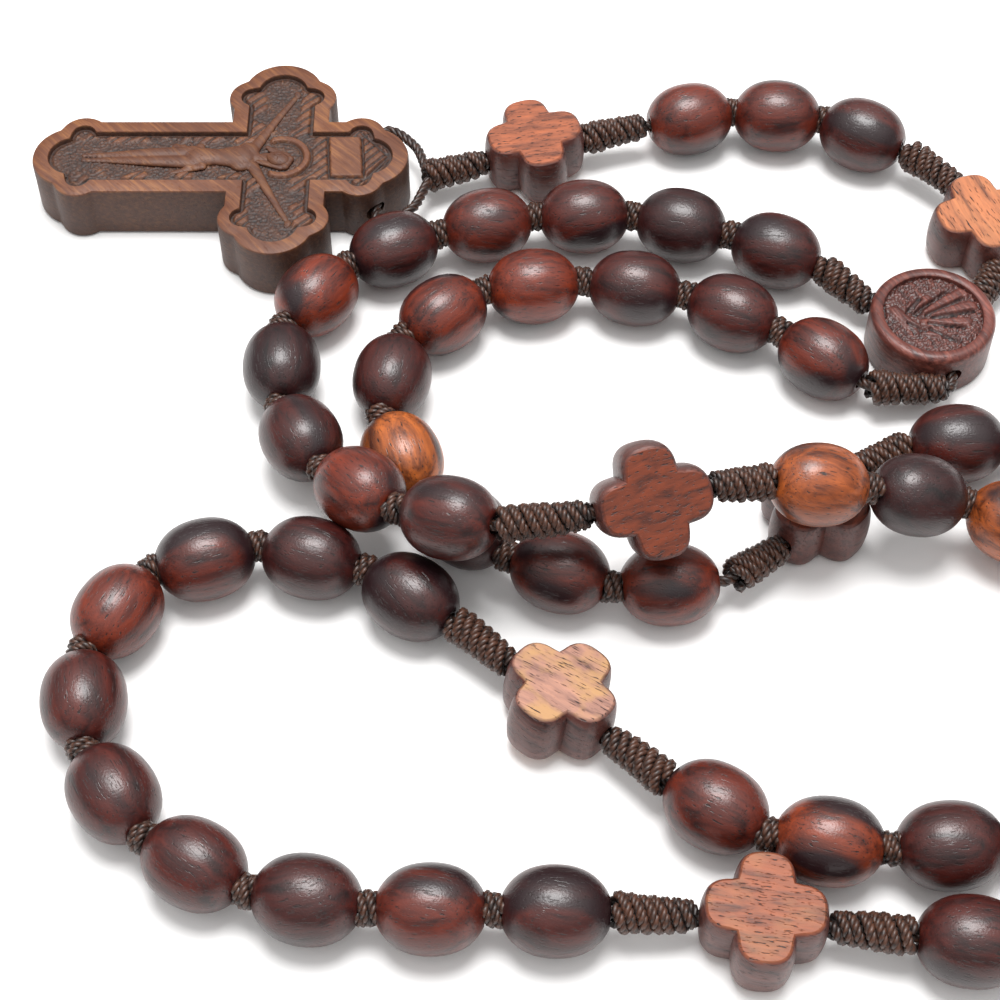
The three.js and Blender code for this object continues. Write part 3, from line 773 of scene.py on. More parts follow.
class RosaryCrucifixSettings(bpy.types.PropertyGroup):
    limb_width: size_setting("Limb width", "Across the shaft and the arms", 10.8 * MM)
    arms_at: size_setting("Arms at", "From the foot's tip to the middle of the arms", 26.9 * MM)
    end_lobe: size_setting("End lobe", "Radius of the lobe at each tip", 4.5 * MM)
    side_lobe: size_setting("Side lobe", "Radius of the lobes beside each tip", 2.7 * MM)
    side_lobe_at: size_setting("Side lobe at", "From a tip to its side lobes' middle", 5.3 * MM)
    side_lobe_offset: size_setting("Side lobe offset", "From a limb's middle to its side lobes", 3.3 * MM)
    border: size_setting("Border", "Width of the plain border round the carving", 1.7 * MM)
    pocket_ease: FloatProperty(name="Pocket ease", default=0.78, min=0.5,
                               description="Below 1, the pocket widens less at the side lobes")
    pocket: size_setting("Pocket", "Depth of the carved ground", 0.55 * MM)
    edge: size_setting("Edge", "Rounding of the outer edges", 0.35 * MM)
    figure_flat: FloatProperty(name="Figure flatness", default=0.66, subtype="FACTOR",
                               description="The low figure's thickness over a full one's")
    hatch: size_setting("Hatch", "Spacing of the slanting cuts", 0.95 * MM)
    wall_burn: FloatProperty(name="Wall burn", description="How dark the side walls are",
                             default=0.72, subtype="FACTOR")
    figure_burn: FloatProperty(name="Figure burn", description="How dark the figure is",
                               default=0.3, subtype="FACTOR")
    head_hole: size_setting("Head hole", "Diameter of the hole that the cord loop goes through", 1.9 * MM)
    cell: size_setting("Carving cell", "Spacing of the points of the carved ground", 0.125 * MM)
    late: colour_setting("Late wood", "Dark streaks", 0x5A301C)
    middle: colour_setting("Middle wood", "Between streaks", 0x6E4026)
    early: colour_setting("Early wood", "Light streaks", 0x8C5A33)
    soot: colour_setting("Soot", "Deepest burn", 0x170D0B)
    singed: colour_setting("Singed", "Light burn", 0x3A231A)


class RosaryStageSettings(bpy.types.PropertyGroup):
    elevation: FloatProperty(name="Elevation", description="The camera's height above the horizon",
                             default=math.radians(54), subtype="ANGLE")
    distance: size_setting("Distance", "From the camera to the point that it looks at", 212.6 * MM)
    target: FloatVectorProperty(name="Target", description="The point on the table that the camera looks at",
                                default=(-45 * MM, -20 * MM, 0), subtype="TRANSLATION")
    lens: FloatProperty(name="Lens", description="Focal length in mm on a 36 mm sensor", default=76.3)
    floor: colour_setting("Floor", "The pale table", 0xF7F6F5)


SETTINGS = {
    "rosary_ovals": RosaryOvalSettings,
    "rosary_crosses": RosaryCrossSettings,
    "rosary_cord": RosaryCordSettings,
    "rosary_medal": RosaryMedalSettings,
    "rosary_crucifix": RosaryCrucifixSettings,
    "rosary_stage": RosaryStageSettings,
}

# How light each bead's wood is, from 0, near-black plum, to 1, orange-brown, in the order of the names.
OVAL_TONES = {
    "decade1": (0.32, 0.12, 0.42, 0.5, 0.36, 0.66, 0.1, 0.3, 0.62, 0.42),
    "decade2": (0.84, 0.1, 0.85, 0.4, 0.5, 0.3, 0.55, 0.3, 0.72, 0.5),
    "decade3": (0.22, 0.22, 0.48, 0.6, 0.42, 0.38, 0.4, 0.3, 0.5, 0.4),
    "decade4": (0.36, 0.5, 0.4, 0.6, 0.3, 0.45, 0.55, 0.35, 0.5, 0.4),
    "decade5": (0.52, 0.4, 0.36, 0.64, 0.62, 0.3, 0.92, 0.2, 0.5, 0.56),
    "pendant": (0.55, 0.5, 0.36),
}
# Each cross bead's own stain and its share of sapwood.
CROSS_STAINS = {
    "cross_bead_1": (0x6C2C10, 0.0),
    "cross_bead_2": (0xA37868, 0.85),
    "cross_bead_3": (0x8B4A2C, 0.15),
    "cross_bead_4": (0x6E3320, 0.0),
    "cross_bead_5": (0x935032, 0.0),
    "cross_bead_6": (0xAE6A44, 0.1),
}


# ---- shapes ----
def oval_master(look):
    """One turned bead along X: a sphere drawn out, fuller than an ellipse, cut flat at its ends and bored."""
    deselect()
    bpy.ops.mesh.primitive_uv_sphere_add(segments=look.segments, ring_count=look.rings, radius=1)
    obj = bpy.context.object
    half, radius = OVAL_LENGTH / 2, look.diameter / 2
    share = look.end_diameter / look.diameter
    reach = half / math.sqrt(1 - share**2)
    bpy.ops.object.mode_set(mode="EDIT")
    bpy.ops.mesh.select_all(action="SELECT")
    bpy.ops.transform.rotate(value=math.pi / 2, orient_axis="Y", center_override=(0, 0, 0))
    bpy.ops.transform.resize(value=(reach, radius, radius), center_override=(0, 0, 0))
    for side in (-1, 1):
        bpy.ops.mesh.select_all(action="SELECT")
        bpy.ops.mesh.bisect(plane_co=(side * half, 0, 0), plane_no=(side, 0, 0), clear_outer=True)
    mesh = bmesh.from_edit_mesh(obj.data)
    for v in mesh.verts:
        out = min(1, abs(v.co.x) / half)
        fuller = 1 + 4 * look.fullness * out**2 * (1 - out**2)
        v.co.y *= fuller
        v.co.z *= fuller
    bmesh.update_edit_mesh(obj.data)
    bpy.ops.mesh.select_mode(type="EDGE")
    for across, along in ((0.86, 1.004), (look.bore / look.end_diameter / 0.86, 0.98)):
        bpy.ops.mesh.select_all(action="DESELECT")
        bpy.ops.mesh.select_non_manifold()
        bpy.ops.mesh.extrude_edges_move()
        bpy.ops.transform.resize(value=(along, across, across), center_override=(0, 0, 0))
    bpy.ops.mesh.bridge_edge_loops()
    bpy.ops.object.mode_set(mode="OBJECT")
    tidy_normals(obj)
    smooth(obj, 50)
    return obj


def grown(name, rings):
    """A solid grown from a filled circle, whose face is extruded once for each ring and moved onto it."""
    deselect()
    bpy.ops.mesh.primitive_circle_add(vertices=len(rings[0]), radius=1, fill_type="NGON")
    obj = bpy.context.object
    obj.name = obj.data.name = name
    bpy.ops.object.mode_set(mode="EDIT")
    for i, ring in enumerate(rings):
        if i:
            bpy.ops.mesh.extrude_region_move()
        mesh = bmesh.from_edit_mesh(obj.data)
        face = next(f for f in mesh.faces if f.select)
        for v, place in zip(face.verts, ring):
            v.co = place
        bmesh.update_edit_mesh(obj.data)
    bpy.ops.object.mode_set(mode="OBJECT")
    tidy_normals(obj)
    return obj


def bored(obj, bores):
    """Cuts round holes. bores: (centre, direction, diameter, length)."""
    for centre, direction, diameter, length in bores:
        deselect()
        bpy.ops.mesh.primitive_cylinder_add(vertices=32, radius=diameter / 2, depth=length)
        drill = bpy.context.object
        turn = Vector(direction).to_track_quat("Z", "Y").to_matrix().to_4x4()
        drill.data.transform(Matrix.Translation(centre) @ turn)
        apply_modifier(obj, "BOOLEAN", operation="DIFFERENCE", object=drill, solver="EXACT")
        bpy.data.objects.remove(drill)


def lobed_ring(look, inset, z, points=96):
    """A four-lobed outline drawn in by inset: where rays from the middle leave the blunt, rounded lobes."""
    reach, broad = look.lobe_radius, look.lobe_radius - look.lobe_flank
    lobe_at = CROSS_SPAN / 2 - reach

    def inside(out, off):
        along = abs(out * math.cos(off) - lobe_at) / reach
        across = abs(out * math.sin(off)) / broad
        return along**look.bluntness + across**look.bluntness < 1

    ring = []
    for i in range(points):
        turn = 2 * math.pi * i / points
        off = (turn + math.pi / 4) % (math.pi / 2) - math.pi / 4
        near, far = lobe_at, CROSS_SPAN
        for _ in range(30):
            middle = (near + far) / 2
            near, far = (middle, far) if inside(middle, off) else (near, middle)
        ring.append(Vector((near * math.cos(turn), near * math.sin(turn), 0)))
    drawn_in = []
    for before, here, after in zip([ring[-1], *ring], ring, [*ring[1:], ring[0]]):
        inward = Vector((0, 0, 1)).cross(after - before).normalized()
        drawn_in.append(Vector((*(here + inward * inset).xy, z)))
    return drawn_in


def cross_master(look):
    """One cross bead, its bore along X: a pillow-sided slab with two flat faces."""
    half = CROSS_T / 2
    levels = [(1, 1), (0.55, 0.93), (0.28, 0.78), (0.1, 0.5), (0, 0.2), (0, 0)]  # share of bulge, height
    profile = [(i * look.bulge, h * half) for i, h in levels]
    rings = [lobed_ring(look, i, -z) for i, z in profile]
    rings += [lobed_ring(look, i, z) for i, z in profile[-2::-1]]
    obj = grown("cross_master", rings)
    bored(obj, [((0, 0, 0), (1, 0, 0), look.bore, CROSS_SPAN + 4 * MM)])
    smooth(obj, 32)
    return obj


def half_width(s, look, inset):
    """Half the crucifix's width, s from a limb's tip: the widest of its end lobe, side lobes and limb."""
    r, side = look.end_lobe - inset, look.side_lobe - look.pocket_ease * inset
    tip = math.sqrt(max(0, r**2 - (s - look.end_lobe) ** 2))
    beside = side**2 - (s - look.side_lobe_at) ** 2
    lobe = look.side_lobe_offset + math.sqrt(beside) if beside > 0 else 0
    limb = look.limb_width / 2 - inset if s > look.end_lobe else 0
    return max(tip, lobe, limb)


def crucifix_outline(look, inset, z, steps=44):
    """The outline drawn in by inset, foot tip at the origin and head along X, limb by limb."""
    ring = []
    length, span = CRUCIFIX_LENGTH, CRUCIFIX_SPAN
    limbs = [((0, 0), (1, 0), look.arms_at), ((look.arms_at, -span / 2), (0, 1), span / 2)]
    limbs += [((length, 0), (-1, 0), length - look.arms_at), ((look.arms_at, span / 2), (0, -1), span / 2)]
    for tip, inward, reach in limbs:
        inward = Vector((*inward, 0))
        side = Vector((0, 0, 1)).cross(inward)
        last = reach - look.limb_width / 2 + inset
        waist = look.side_lobe_at + look.side_lobe
        eased = [(1 - math.cos(math.pi * i / steps)) for i in range(steps + 1)]
        near = [inset + (waist - inset) * w / 2 for w in eased]
        for sign, run in ((1, [last, *near[:0:-1]]), (-1, [*near, last])):
            for s in run:
                ring.append(Vector((*tip, z)) + inward * s + side * sign * half_width(s, look, inset))
    return ring


def depth_in_crucifix(x, y, look):
    """How far inside the outline each point of two arrays lies."""
    length, span, at, half = CRUCIFIX_LENGTH, CRUCIFIX_SPAN, look.arms_at, look.limb_width / 2
    shaft = np.minimum(half - abs(y), np.minimum(x, length - x) - look.end_lobe)
    arms = np.minimum(half - abs(x - at), span / 2 - look.end_lobe - abs(y))
    deepest = np.maximum(shaft, arms)
    tips = [(0, 0, 1, 0), (length, 0, -1, 0), (at, -span / 2, 0, 1), (at, span / 2, 0, -1)]
    for tip_x, tip_y, in_x, in_y in tips:
        lobes = [(look.end_lobe, 0, look.end_lobe)]
        lobes += [(look.side_lobe_at, side * look.side_lobe_offset, look.side_lobe) for side in (-1, 1)]
        for along, aside, radius in lobes:
            off_x = x - tip_x - in_x * along + in_y * aside
            off_y = y - tip_y - in_y * along - in_x * aside
            ease = look.pocket_ease if aside else 1
            deepest = np.maximum(deepest, (radius - np.hypot(off_x, off_y)) / ease)
    return deepest


def stipple(x, y, cell):
    """An uneven, pecked surface, from -1 to 1, with pits about one cell wide."""
    return np.array([noise.noise(Vector((a / cell, b / cell, 0))) * 2 for a, b in zip(x, y)])


def near_line(x, y, a, b):
    """How far each point lies from the stretch from a to b."""
    run, rise = b[0] - a[0], b[1] - a[1]
    along = np.clip(((x - a[0]) * run + (y - a[1]) * rise) / (run**2 + rise**2), 0, 1)
    return np.hypot(x - a[0] - along * run, y - a[1] - along * rise)


def edge_between(value, low, high):
    """0 below low, 1 above high, and a smooth slope between."""
    t = np.clip((value - low) / (high - low), 0, 1)
    return t * t * (3 - 2 * t)


PANEL_BACK = 0.3 * MM  # thickness of a carved panel under its lowest point


def carving(name, low, high, cell, depth_in, margin, height, thickness):
    """A carved panel: a fine grid, cut to where it lies over margin inside, given a back, and raised.
    height(x, y, depth) gives each top point's height and how burnt it is."""
    deselect()
    size, middle = Vector(high) - Vector(low), (Vector(high) + Vector(low)) / 2
    cells = [round(side / cell) for side in size]
    bpy.ops.mesh.primitive_grid_add(x_subdivisions=cells[0], y_subdivisions=cells[1], size=1)
    obj = bpy.context.object
    obj.name = obj.data.name = name
    bpy.ops.object.mode_set(mode="EDIT")
    bpy.ops.transform.resize(value=(size.x, size.y, 1), center_override=(0, 0, 0))
    bpy.ops.transform.translate(value=(middle.x, middle.y, 0))
    select_where(obj, lambda v: depth_in(v.co.x, v.co.y) < margin, "VERT")
    bpy.ops.mesh.delete(type="VERT")
    bpy.ops.mesh.select_all(action="SELECT")
    bpy.ops.mesh.extrude_region_move(TRANSFORM_OT_translate={"value": (0, 0, -thickness)})
    bpy.ops.object.mode_set(mode="OBJECT")
    co = points_of(obj.data).astype(float)
    top = co[:, 2] > -thickness / 2
    x, y = co[top, 0], co[top, 1]
    burn = np.zeros(len(co))
    co[top, 2], burn[top] = height(x, y, depth_in(x, y))
    co[~top, 2] = co[top, 2].min() - thickness
    obj.data.vertices.foreach_set("co", co.astype(np.float32).ravel())
    note(obj.data, "burn", burn)
    pick(obj)
    bpy.ops.object.mode_set(mode="EDIT")
    bpy.ops.mesh.select_all(action="SELECT")
    bpy.ops.mesh.normals_make_consistent(inside=False)
    bpy.ops.object.mode_set(mode="OBJECT")
    smooth(obj)
    return obj


def joined(name, pieces):
    """Several objects joined as one."""
    pick(pieces[0])
    for piece in pieces:
        piece.select_set(True)
    bpy.ops.object.join()
    obj = bpy.context.object
    obj.name = obj.data.name = name
    return obj


def swelling(place, radii, turn=0.0):
    """One ball of a figure, drawn out along its three axes and turned about Z."""
    bpy.ops.mesh.primitive_uv_sphere_add(segments=16, ring_count=10, radius=1)
    ball = bpy.context.object
    ball.data.transform(
        Matrix.Translation(place) @ Matrix.Rotation(turn, 4, "Z") @ Matrix.Diagonal((*radii, 1))
    )
    return ball


def limb_of(a, b, thick_a, thick_b, flat=0.8, balls=18):
    """A tapered limb of a figure, as a row of balls."""
    a, b = Vector(a), Vector(b)
    row = []
    for i in range(balls):
        w = i / (balls - 1)
        radius = thick_a + (thick_b - thick_a) * w
        row.append(swelling(a.lerp(b, w), (radius, radius, radius * flat)))
    return row


def modelled(name, balls, voxel, rounds):
    """The balls fused into one skin and smoothed."""
    obj = joined(name, balls)
    apply_modifier(obj, "REMESH", mode="VOXEL", voxel_size=voxel)
    apply_modifier(obj, "SMOOTH", factor=0.5, iterations=rounds)
    smooth(obj)
    return obj


def calm_face(place, tilt, long, wide, deep):
    """A head seen from the front, chin to -X: a plain egg with brows, eyes, nose and mouth."""
    deselect()
    bpy.ops.mesh.primitive_uv_sphere_add(segments=72, ring_count=48, radius=1)
    obj = bpy.context.object
    co = points_of(obj.data).astype(float)
    up, across, out = co[:, 0].copy(), co[:, 1].copy(), co[:, 2].copy()

    def mound(at_up, at_across, size_up, size_across):
        return np.exp(-(((up - at_up) / size_up) ** 2) - ((across - at_across) / size_across) ** 2)

    lift = 0.10 * mound(0.2, 0, 0.1, 0.55)
    lift = lift + 0.26 * mound(-0.2, 0, 0.16, 0.11) + 0.12 * mound(0.02, 0, 0.16, 0.08)
    lift += 0.06 * (mound(-0.1, 0.45, 0.2, 0.2) + mound(-0.1, -0.45, 0.2, 0.2))
    for side in (-0.34, 0.34):
        lift += 0.1 * mound(0.02, side, 0.05, 0.12) - 0.17 * mound(0.03, side, 0.11, 0.17)
    lips = 0.09 * mound(-0.46, 0, 0.035, 0.2) + 0.08 * mound(-0.56, 0, 0.04, 0.16)
    lift += lips - 0.1 * mound(-0.51, 0, 0.02, 0.22)
    co[:, 2] += np.where(out > 0.1, lift, 0)
    co[:, 1] *= np.where(up < 0, 1 - 0.22 * up**2, 1)
    obj.data.vertices.foreach_set("co", co.astype(np.float32).ravel())
    size = Matrix.Diagonal((long / 2, wide / 2, deep / 2, 1))
    obj.data.transform(Matrix.Translation(place) @ Matrix.Rotation(tilt, 4, "Z") @ size)
    smooth(obj)
    return obj


HAIR_BURN = 0.35


def corpus(look, floor):
    """The low carved figure: legs together, a cloth round the hips, arms up and out, head bowed to -Y."""
    def p(x, y, z=0.35):
        return (x * MM, y * MM, floor + z * MM)

    body = []
    for side in (-1, 1):
        body += limb_of(p(17.8, 0.75 * side, 0.35), p(13.4, 0.62 * side - 0.1, 0.55), 0.98 * MM, 0.72 * MM)
        body += limb_of(p(13.4, 0.62 * side - 0.1, 0.55), p(8.3, 0.42 * side, 0.25), 0.74 * MM, 0.44 * MM)
        body += limb_of(p(8.3, 0.42 * side, 0.25), p(5.6, 0.36 * side, 0.2), 0.46 * MM, 0.34 * MM, balls=6)
        body += limb_of(p(24.2, 1.35 * side, 0.3), p(26.1, 5.2 * side, 0.3), 0.72 * MM, 0.5 * MM)
        body += limb_of(p(26.1, 5.2 * side, 0.3), p(28.2, 9.2 * side, 0.2), 0.5 * MM, 0.36 * MM)
        body += [swelling(p(28.5, 9.9 * side, 0.2), (0.42 * MM, 0.62 * MM, 0.3 * MM), 0.4 * side)]
    body += limb_of(p(18.2, 0), p(20.2, 0), 1.45 * MM, 1.15 * MM, 0.75)
    body += limb_of(p(20.2, 0), p(22.8, 0, 0.45), 1.15 * MM, 1.7 * MM, 0.62)
    body += limb_of(p(22.9, -0.8, 0.45), p(23.5, 0.8, 0.45), 1.35 * MM, 1.35 * MM, 0.6, 4)
    body += limb_of(p(24.2, 0), p(25.6, -0.35, 0.5), 0.7 * MM, 0.55 * MM, balls=4)
    skin = modelled("figure_skin", body, 0.11 * MM, 8)

    cloth = limb_of(p(18.7, -1.5, 0.5), p(18.3, 1.5, 0.5), 0.5 * MM, 0.5 * MM)
    cloth += limb_of(p(18.0, -1.6, 0.45), p(16.4, 1.3, 0.6), 0.55 * MM, 0.5 * MM)
    cloth += limb_of(p(17.2, -1.5, 0.4), p(15.5, 0.6, 0.6), 0.5 * MM, 0.4 * MM)
    cloth += limb_of(p(17.4, 0.2, 0.55), p(15.6, 1.5, 0.45), 0.75 * MM, 0.5 * MM)
    cloth += limb_of(p(18.4, -1.5, 0.4), p(15.4, -2.3, 0.2), 0.5 * MM, 0.28 * MM)
    drape = modelled("figure_cloth", cloth, 0.09 * MM, 2)

    tilt = -0.42
    head = calm_face(Vector(p(26.9, -0.5, 0.75)), tilt, 2.7 * MM, 2.0 * MM, 1.6 * MM)
    down = Vector((-math.cos(tilt), -math.sin(tilt), 0)) * MM
    aside = Vector((math.sin(tilt), -math.cos(tilt), 0)) * MM
    crown = Vector(p(26.9, -0.5, 0.55))
    brow = crown - down * 1.15
    hair = limb_of(brow + aside * 0.6, brow - aside * 0.6, 0.5 * MM, 0.5 * MM, 1, 5)
    for side in (-1, 1):
        for spread, reach in ((0.95, 1.5), (1.2, 1.9)):
            top = crown - down * 0.8 + aside * side * spread * 0.8
            hair += limb_of(top, crown + down * reach + aside * side * spread, 0.36 * MM, 0.24 * MM, 1)
    hair += limb_of(crown + down * 1.05, crown + down * 1.85, 0.5 * MM, 0.24 * MM, 1, 5)
    locks = modelled("figure_hair", hair, 0.08 * MM, 2)
    parts = [skin, drape, head, locks]
    flatten = Matrix.Translation((0, 0, floor)) @ Matrix.Diagonal((1, 1, look.figure_flat, 1))
    for obj in parts:
        obj.data.transform(flatten @ Matrix.Translation((0, 0, -floor)))
    for obj, burnt in zip(parts, (*[look.figure_burn] * 3, HAIR_BURN)):
        stand_out = points_of(obj.data)[:, 2] - floor
        note(obj.data, "burn", burnt + (1 - burnt) * (1 - np.clip(stand_out / (0.4 * MM), 0, 1)) * 0.9)
    return parts


GROUND_RISE = 0.34 * MM  # how far the hatched ground stands over the pocket's floor
CUT_DEPTH = 0.2 * MM
PROUD = 0.5 * MM  # the ring and the plaque stand this far over the floor
RING_AT, RING_R = 27.3 * MM, 2.75 * MM
RING_OPENS_AT, RING_EDGE_FROM = 26.2 * MM, 25.9 * MM  # below these, the shoulders take the ring's place
PLAQUE_AT, PLAQUE_HALF = 34.3 * MM, (1.75 * MM, 3.0 * MM)
GABLE_TIP, GABLE_FEET = (39.0 * MM, 0.2 * MM), ((36 * MM, 3.7 * MM), (36.3 * MM, -3.5 * MM))


def crucifix_ground(look, floor):
    """The carved ground as a function: a grooved outline, slanting cuts toward the ends, a pecked dark ground
    along the limbs, a ring behind the head and a blank plaque above it."""
    hatch, at = look.hatch, look.arms_at
    edge = crucifix_outline(look, look.border, 0)

    def height(x, y, _):
        inward = np.full(len(x), look.limb_width)
        for a, b in zip(edge, [*edge[1:], edge[0]]):
            if (b - a).length > 0:
                inward = np.minimum(inward, near_line(x, y, a, b))
        across = np.mod((x - y) / math.sqrt(2) + 0.25 * MM * np.sin(x / (3 * MM)), hatch) / hatch
        cut = 1 - edge_between(abs(across - 0.5), 0.1, 0.2)
        pecks = 0.6 * stipple(x, y, 0.26 * MM) + 0.7 * stipple(x, y, 0.14 * MM)
        clouds = stipple(x, y, 1.7 * MM)
        arm = 2.4 * MM - abs(x - at) - 0.35 * np.maximum(0, 6 * MM - abs(y))
        limb = np.maximum(3.1 * MM - abs(y), arm)
        ground = edge_between(limb / MM + 0.9 * clouds, -0.3, 0.5) * edge_between(31.5 * MM - x, 0, 1.2 * MM)
        ground = np.maximum(ground, edge_between(7 * MM - x + 2 * MM * clouds, 0, 2 * MM))
        groove = 1 - edge_between(inward, 0.42 * MM, 0.62 * MM)
        head = abs(np.hypot(x - RING_AT, y) - RING_R)
        ring = 1 - edge_between(head, 0.3 * MM, 0.42 * MM)
        ring *= 1 - edge_between(-(x - RING_OPENS_AT), 0, 0.5 * MM)
        ring_edge = 1 - edge_between(abs(head - 0.5 * MM), 0.08 * MM, 0.2 * MM)
        ring_edge *= x > RING_EDGE_FROM
        lean = x + 0.07 * y
        plaque = np.minimum(PLAQUE_HALF[0] - abs(lean - PLAQUE_AT), PLAQUE_HALF[1] - abs(y))
        on_plaque = edge_between(plaque, 0, 0.12 * MM)
        plaque_edge = 1 - edge_between(abs(plaque + 0.16 * MM), 0.08 * MM, 0.2 * MM)
        gable = np.minimum(*(near_line(x, y, foot, GABLE_TIP) for foot in GABLE_FEET))
        plaque_edge = np.maximum(plaque_edge, 1 - edge_between(gable, 0.12 * MM, 0.26 * MM))
        rise = GROUND_RISE * (1 - 0.55 * ground) - CUT_DEPTH * cut * (1 - ground)
        rise += 0.07 * MM * pecks * ground + 0.03 * MM * pecks
        rise = np.maximum(rise * (1 - 0.9 * ring_edge), PROUD * ring)
        rise = rise * (1 - on_plaque) + PROUD * on_plaque
        rise *= (1 - plaque_edge) * (1 - groove)
        burn = 0.3 + 0.65 * ground * (0.8 - 0.5 * pecks) + 0.75 * cut * (1 - ground) + 0.15 * clouds
        burn = np.maximum(burn, 0.9 * ring_edge) * (1 - ring) * (1 - on_plaque) + 0.08 * (ring + on_plaque)
        burn = np.maximum(burn, np.maximum(0.95 * plaque_edge, 0.85 * groove))
        return floor + rise, np.clip(burn, 0, 1)

    return height


def crucifix_shape(look):
    """The crucifix, foot tip at the origin and head along X: a lobed slab with a carved pocket and a hole."""
    top, floor, e = CRUCIFIX_T, CRUCIFIX_T - look.pocket, look.edge
    levels = [(e, 0), (0.3 * e, 0.25 * e), (0, e), (0, top - e), (0.3 * e, top - 0.3 * e), (e, top)]
    levels += [(look.border, top), (look.border + 0.1 * MM, top - 0.15 * MM)]
    levels += [(look.border + 0.18 * MM, floor - 0.3 * MM)]
    body = grown("crucifix_body", [crucifix_outline(look, inset, z) for inset, z in levels])
    hole = (CRUCIFIX_LENGTH - HEAD_HOLE_AT, 0, top / 2)
    bored(body, [(hole, (0, 1, 0), look.head_hole, look.limb_width + 8 * MM)])
    smooth(body, 40)
    co = points_of(body.data)
    edge_burn = np.where(co[:, 2] < top - 0.9 * e, look.wall_burn, 0.0)
    inner = depth_in_crucifix(co[:, 0], co[:, 1], look) > look.border + 0.05 * MM
    note(body.data, "burn", np.where(inner & (co[:, 2] > top / 2), 0.8, edge_burn))
    half_span = CRUCIFIX_SPAN / 2
    ground = carving(
        "crucifix_ground", (0, -half_span), (CRUCIFIX_LENGTH, half_span), look.cell,
        lambda x, y: depth_in_crucifix(x, y, look), look.border - 0.1 * MM,
        crucifix_ground(look, floor), PANEL_BACK,
    )
    return joined("carved_crucifix", [body, ground, *corpus(look, floor)])


def medal_field(look, floor):
    """The medal's plain carving: dark strokes that fan out over smoother bands, on a pecked ground."""
    rays = [
        ((-1.9, 0.1), (1.6, 3.1)), ((-0.7, 0), (3.4, 2.3)), ((0, -0.4), (4.2, 0.5)),
        ((-0.6, -1.2), (3.0, -1.7)), ((-2.6, 0.4), (-1.2, 2.1)), ((-2.7, -1.2), (-1.0, -2.3)),
        ((-0.5, -2.0), (2.2, -3.6)),
    ]  # from and to, in mm
    bands = [
        ((-0.4, 0.6), (3.3, 2.9), 0.75), ((0.4, 0.1), (4.0, 1.2), 0.7), ((-1.0, -1.1), (3.4, -0.9), 0.55),
        ((-3.9, 0.5), (-2.3, -1.6), 0.6), ((-0.9, -2.3), (0.3, -2.5), 0.6), ((-2.0, 1.3), (-0.4, 2.2), 0.5),
    ]  # from, to and half the width, in mm

    def height(x, y, depth):
        pecks = stipple(x, y, 0.3 * MM) + 0.5 * stipple(x, y, 0.13 * MM)
        smoothed = np.zeros(len(x))
        for a, b, broad in bands:
            away = near_line(x, y, [c * MM for c in a], [c * MM for c in b])
            band = 1 - edge_between(away + 0.12 * MM * pecks, 0.6 * broad * MM, broad * MM)
            smoothed = np.maximum(smoothed, band)
        stroke = np.zeros(len(x))
        for i, (a, b) in enumerate(rays):
            away = near_line(x, y, [c * MM for c in a], [c * MM for c in b])
            wide = (0.13 if i % 2 else 0.18) * MM
            stroke = np.maximum(stroke, 1 - edge_between(away, wide, 2 * wide))
        groove = 1 - edge_between(depth - look.rim, 0.12 * MM, 0.4 * MM)
        rise = 0.14 * MM * pecks * (1 - 0.85 * smoothed) + 0.2 * MM * smoothed
        rise = rise - 0.35 * MM * stroke - 0.12 * MM * groove
        burn = 0.5 - 0.35 * pecks * (1 - smoothed) - 0.4 * smoothed + 0.95 * stroke + 0.3 * groove
        return floor + rise, np.clip(burn, 0, 1)

    return height


def medal_shape(look):
    """The medal about Z: a thick round slab with a rounded edge, a rimmed carved field and three bores."""
    top, floor, e = MEDAL_T, MEDAL_T - look.recess, look.edge
    levels = [(0.4 * MM, 0), (0.1 * MM, 0.15 * MM), (0, 0.5 * MM), (0, top - e)]
    levels += [(e * (1 - math.cos(t)), top - e + e * math.sin(t)) for t in (0.4, 0.8, 1.2, math.pi / 2)]
    levels += [(look.rim - 0.15 * MM, top), (look.rim, top - 0.12 * MM)]
    levels += [(look.rim + 0.1 * MM, floor - 0.4 * MM)]
    turns = [2 * math.pi * i / look.segments for i in range(look.segments)]
    rings = []
    for inset, z in levels:
        r = MEDAL_R - inset
        rings.append([Vector((r * math.cos(t), r * math.sin(t), z)) for t in turns])
    body = grown("medal_body", rings)
    bores = []
    for hole in MEDAL_HOLES:
        along = rim(hole, 1).xy.normalized().to_3d()
        bores.append((rim(hole, MEDAL_R / 2 + 1 * MM), along, look.bore, MEDAL_R + 2 * MM))
    bored(body, bores)
    smooth(body, 40)
    co = points_of(body.data)
    inner = (np.hypot(co[:, 0], co[:, 1]) < MEDAL_R - look.rim + 0.05 * MM) & (co[:, 2] < top - 0.2 * MM)
    note(body.data, "burn", np.where(inner, 0.8, np.where(co[:, 2] < top - e, look.wall_burn, 0.0)))
    reach = MEDAL_R - look.rim
    field = carving(
        "medal_ground", (-reach, -reach), (reach, reach), look.cell, lambda x, y: MEDAL_R - np.hypot(x, y),
        look.rim - 0.1 * MM, medal_field(look, floor), PANEL_BACK,
    )
    return joined("carved_medal", [body, field])


# ---- the pieces, one operator for each ----
def grain_of(points, draw):
    """Each bead's own wood: its local points in mm, moved to a random place in the tree and turned."""
    tilt = Matrix.Rotation(draw.uniform(-0.25, 0.25), 3, "Y")
    tilt = tilt @ Matrix.Rotation(draw.uniform(-0.25, 0.25), 3, "Z")
    turn = tilt @ Matrix.Rotation(draw.uniform(0, 6.28), 3, "X")
    shift = [draw.uniform(-400, 400) for _ in range(3)]
    return points / MM @ np.array(turn) + shift


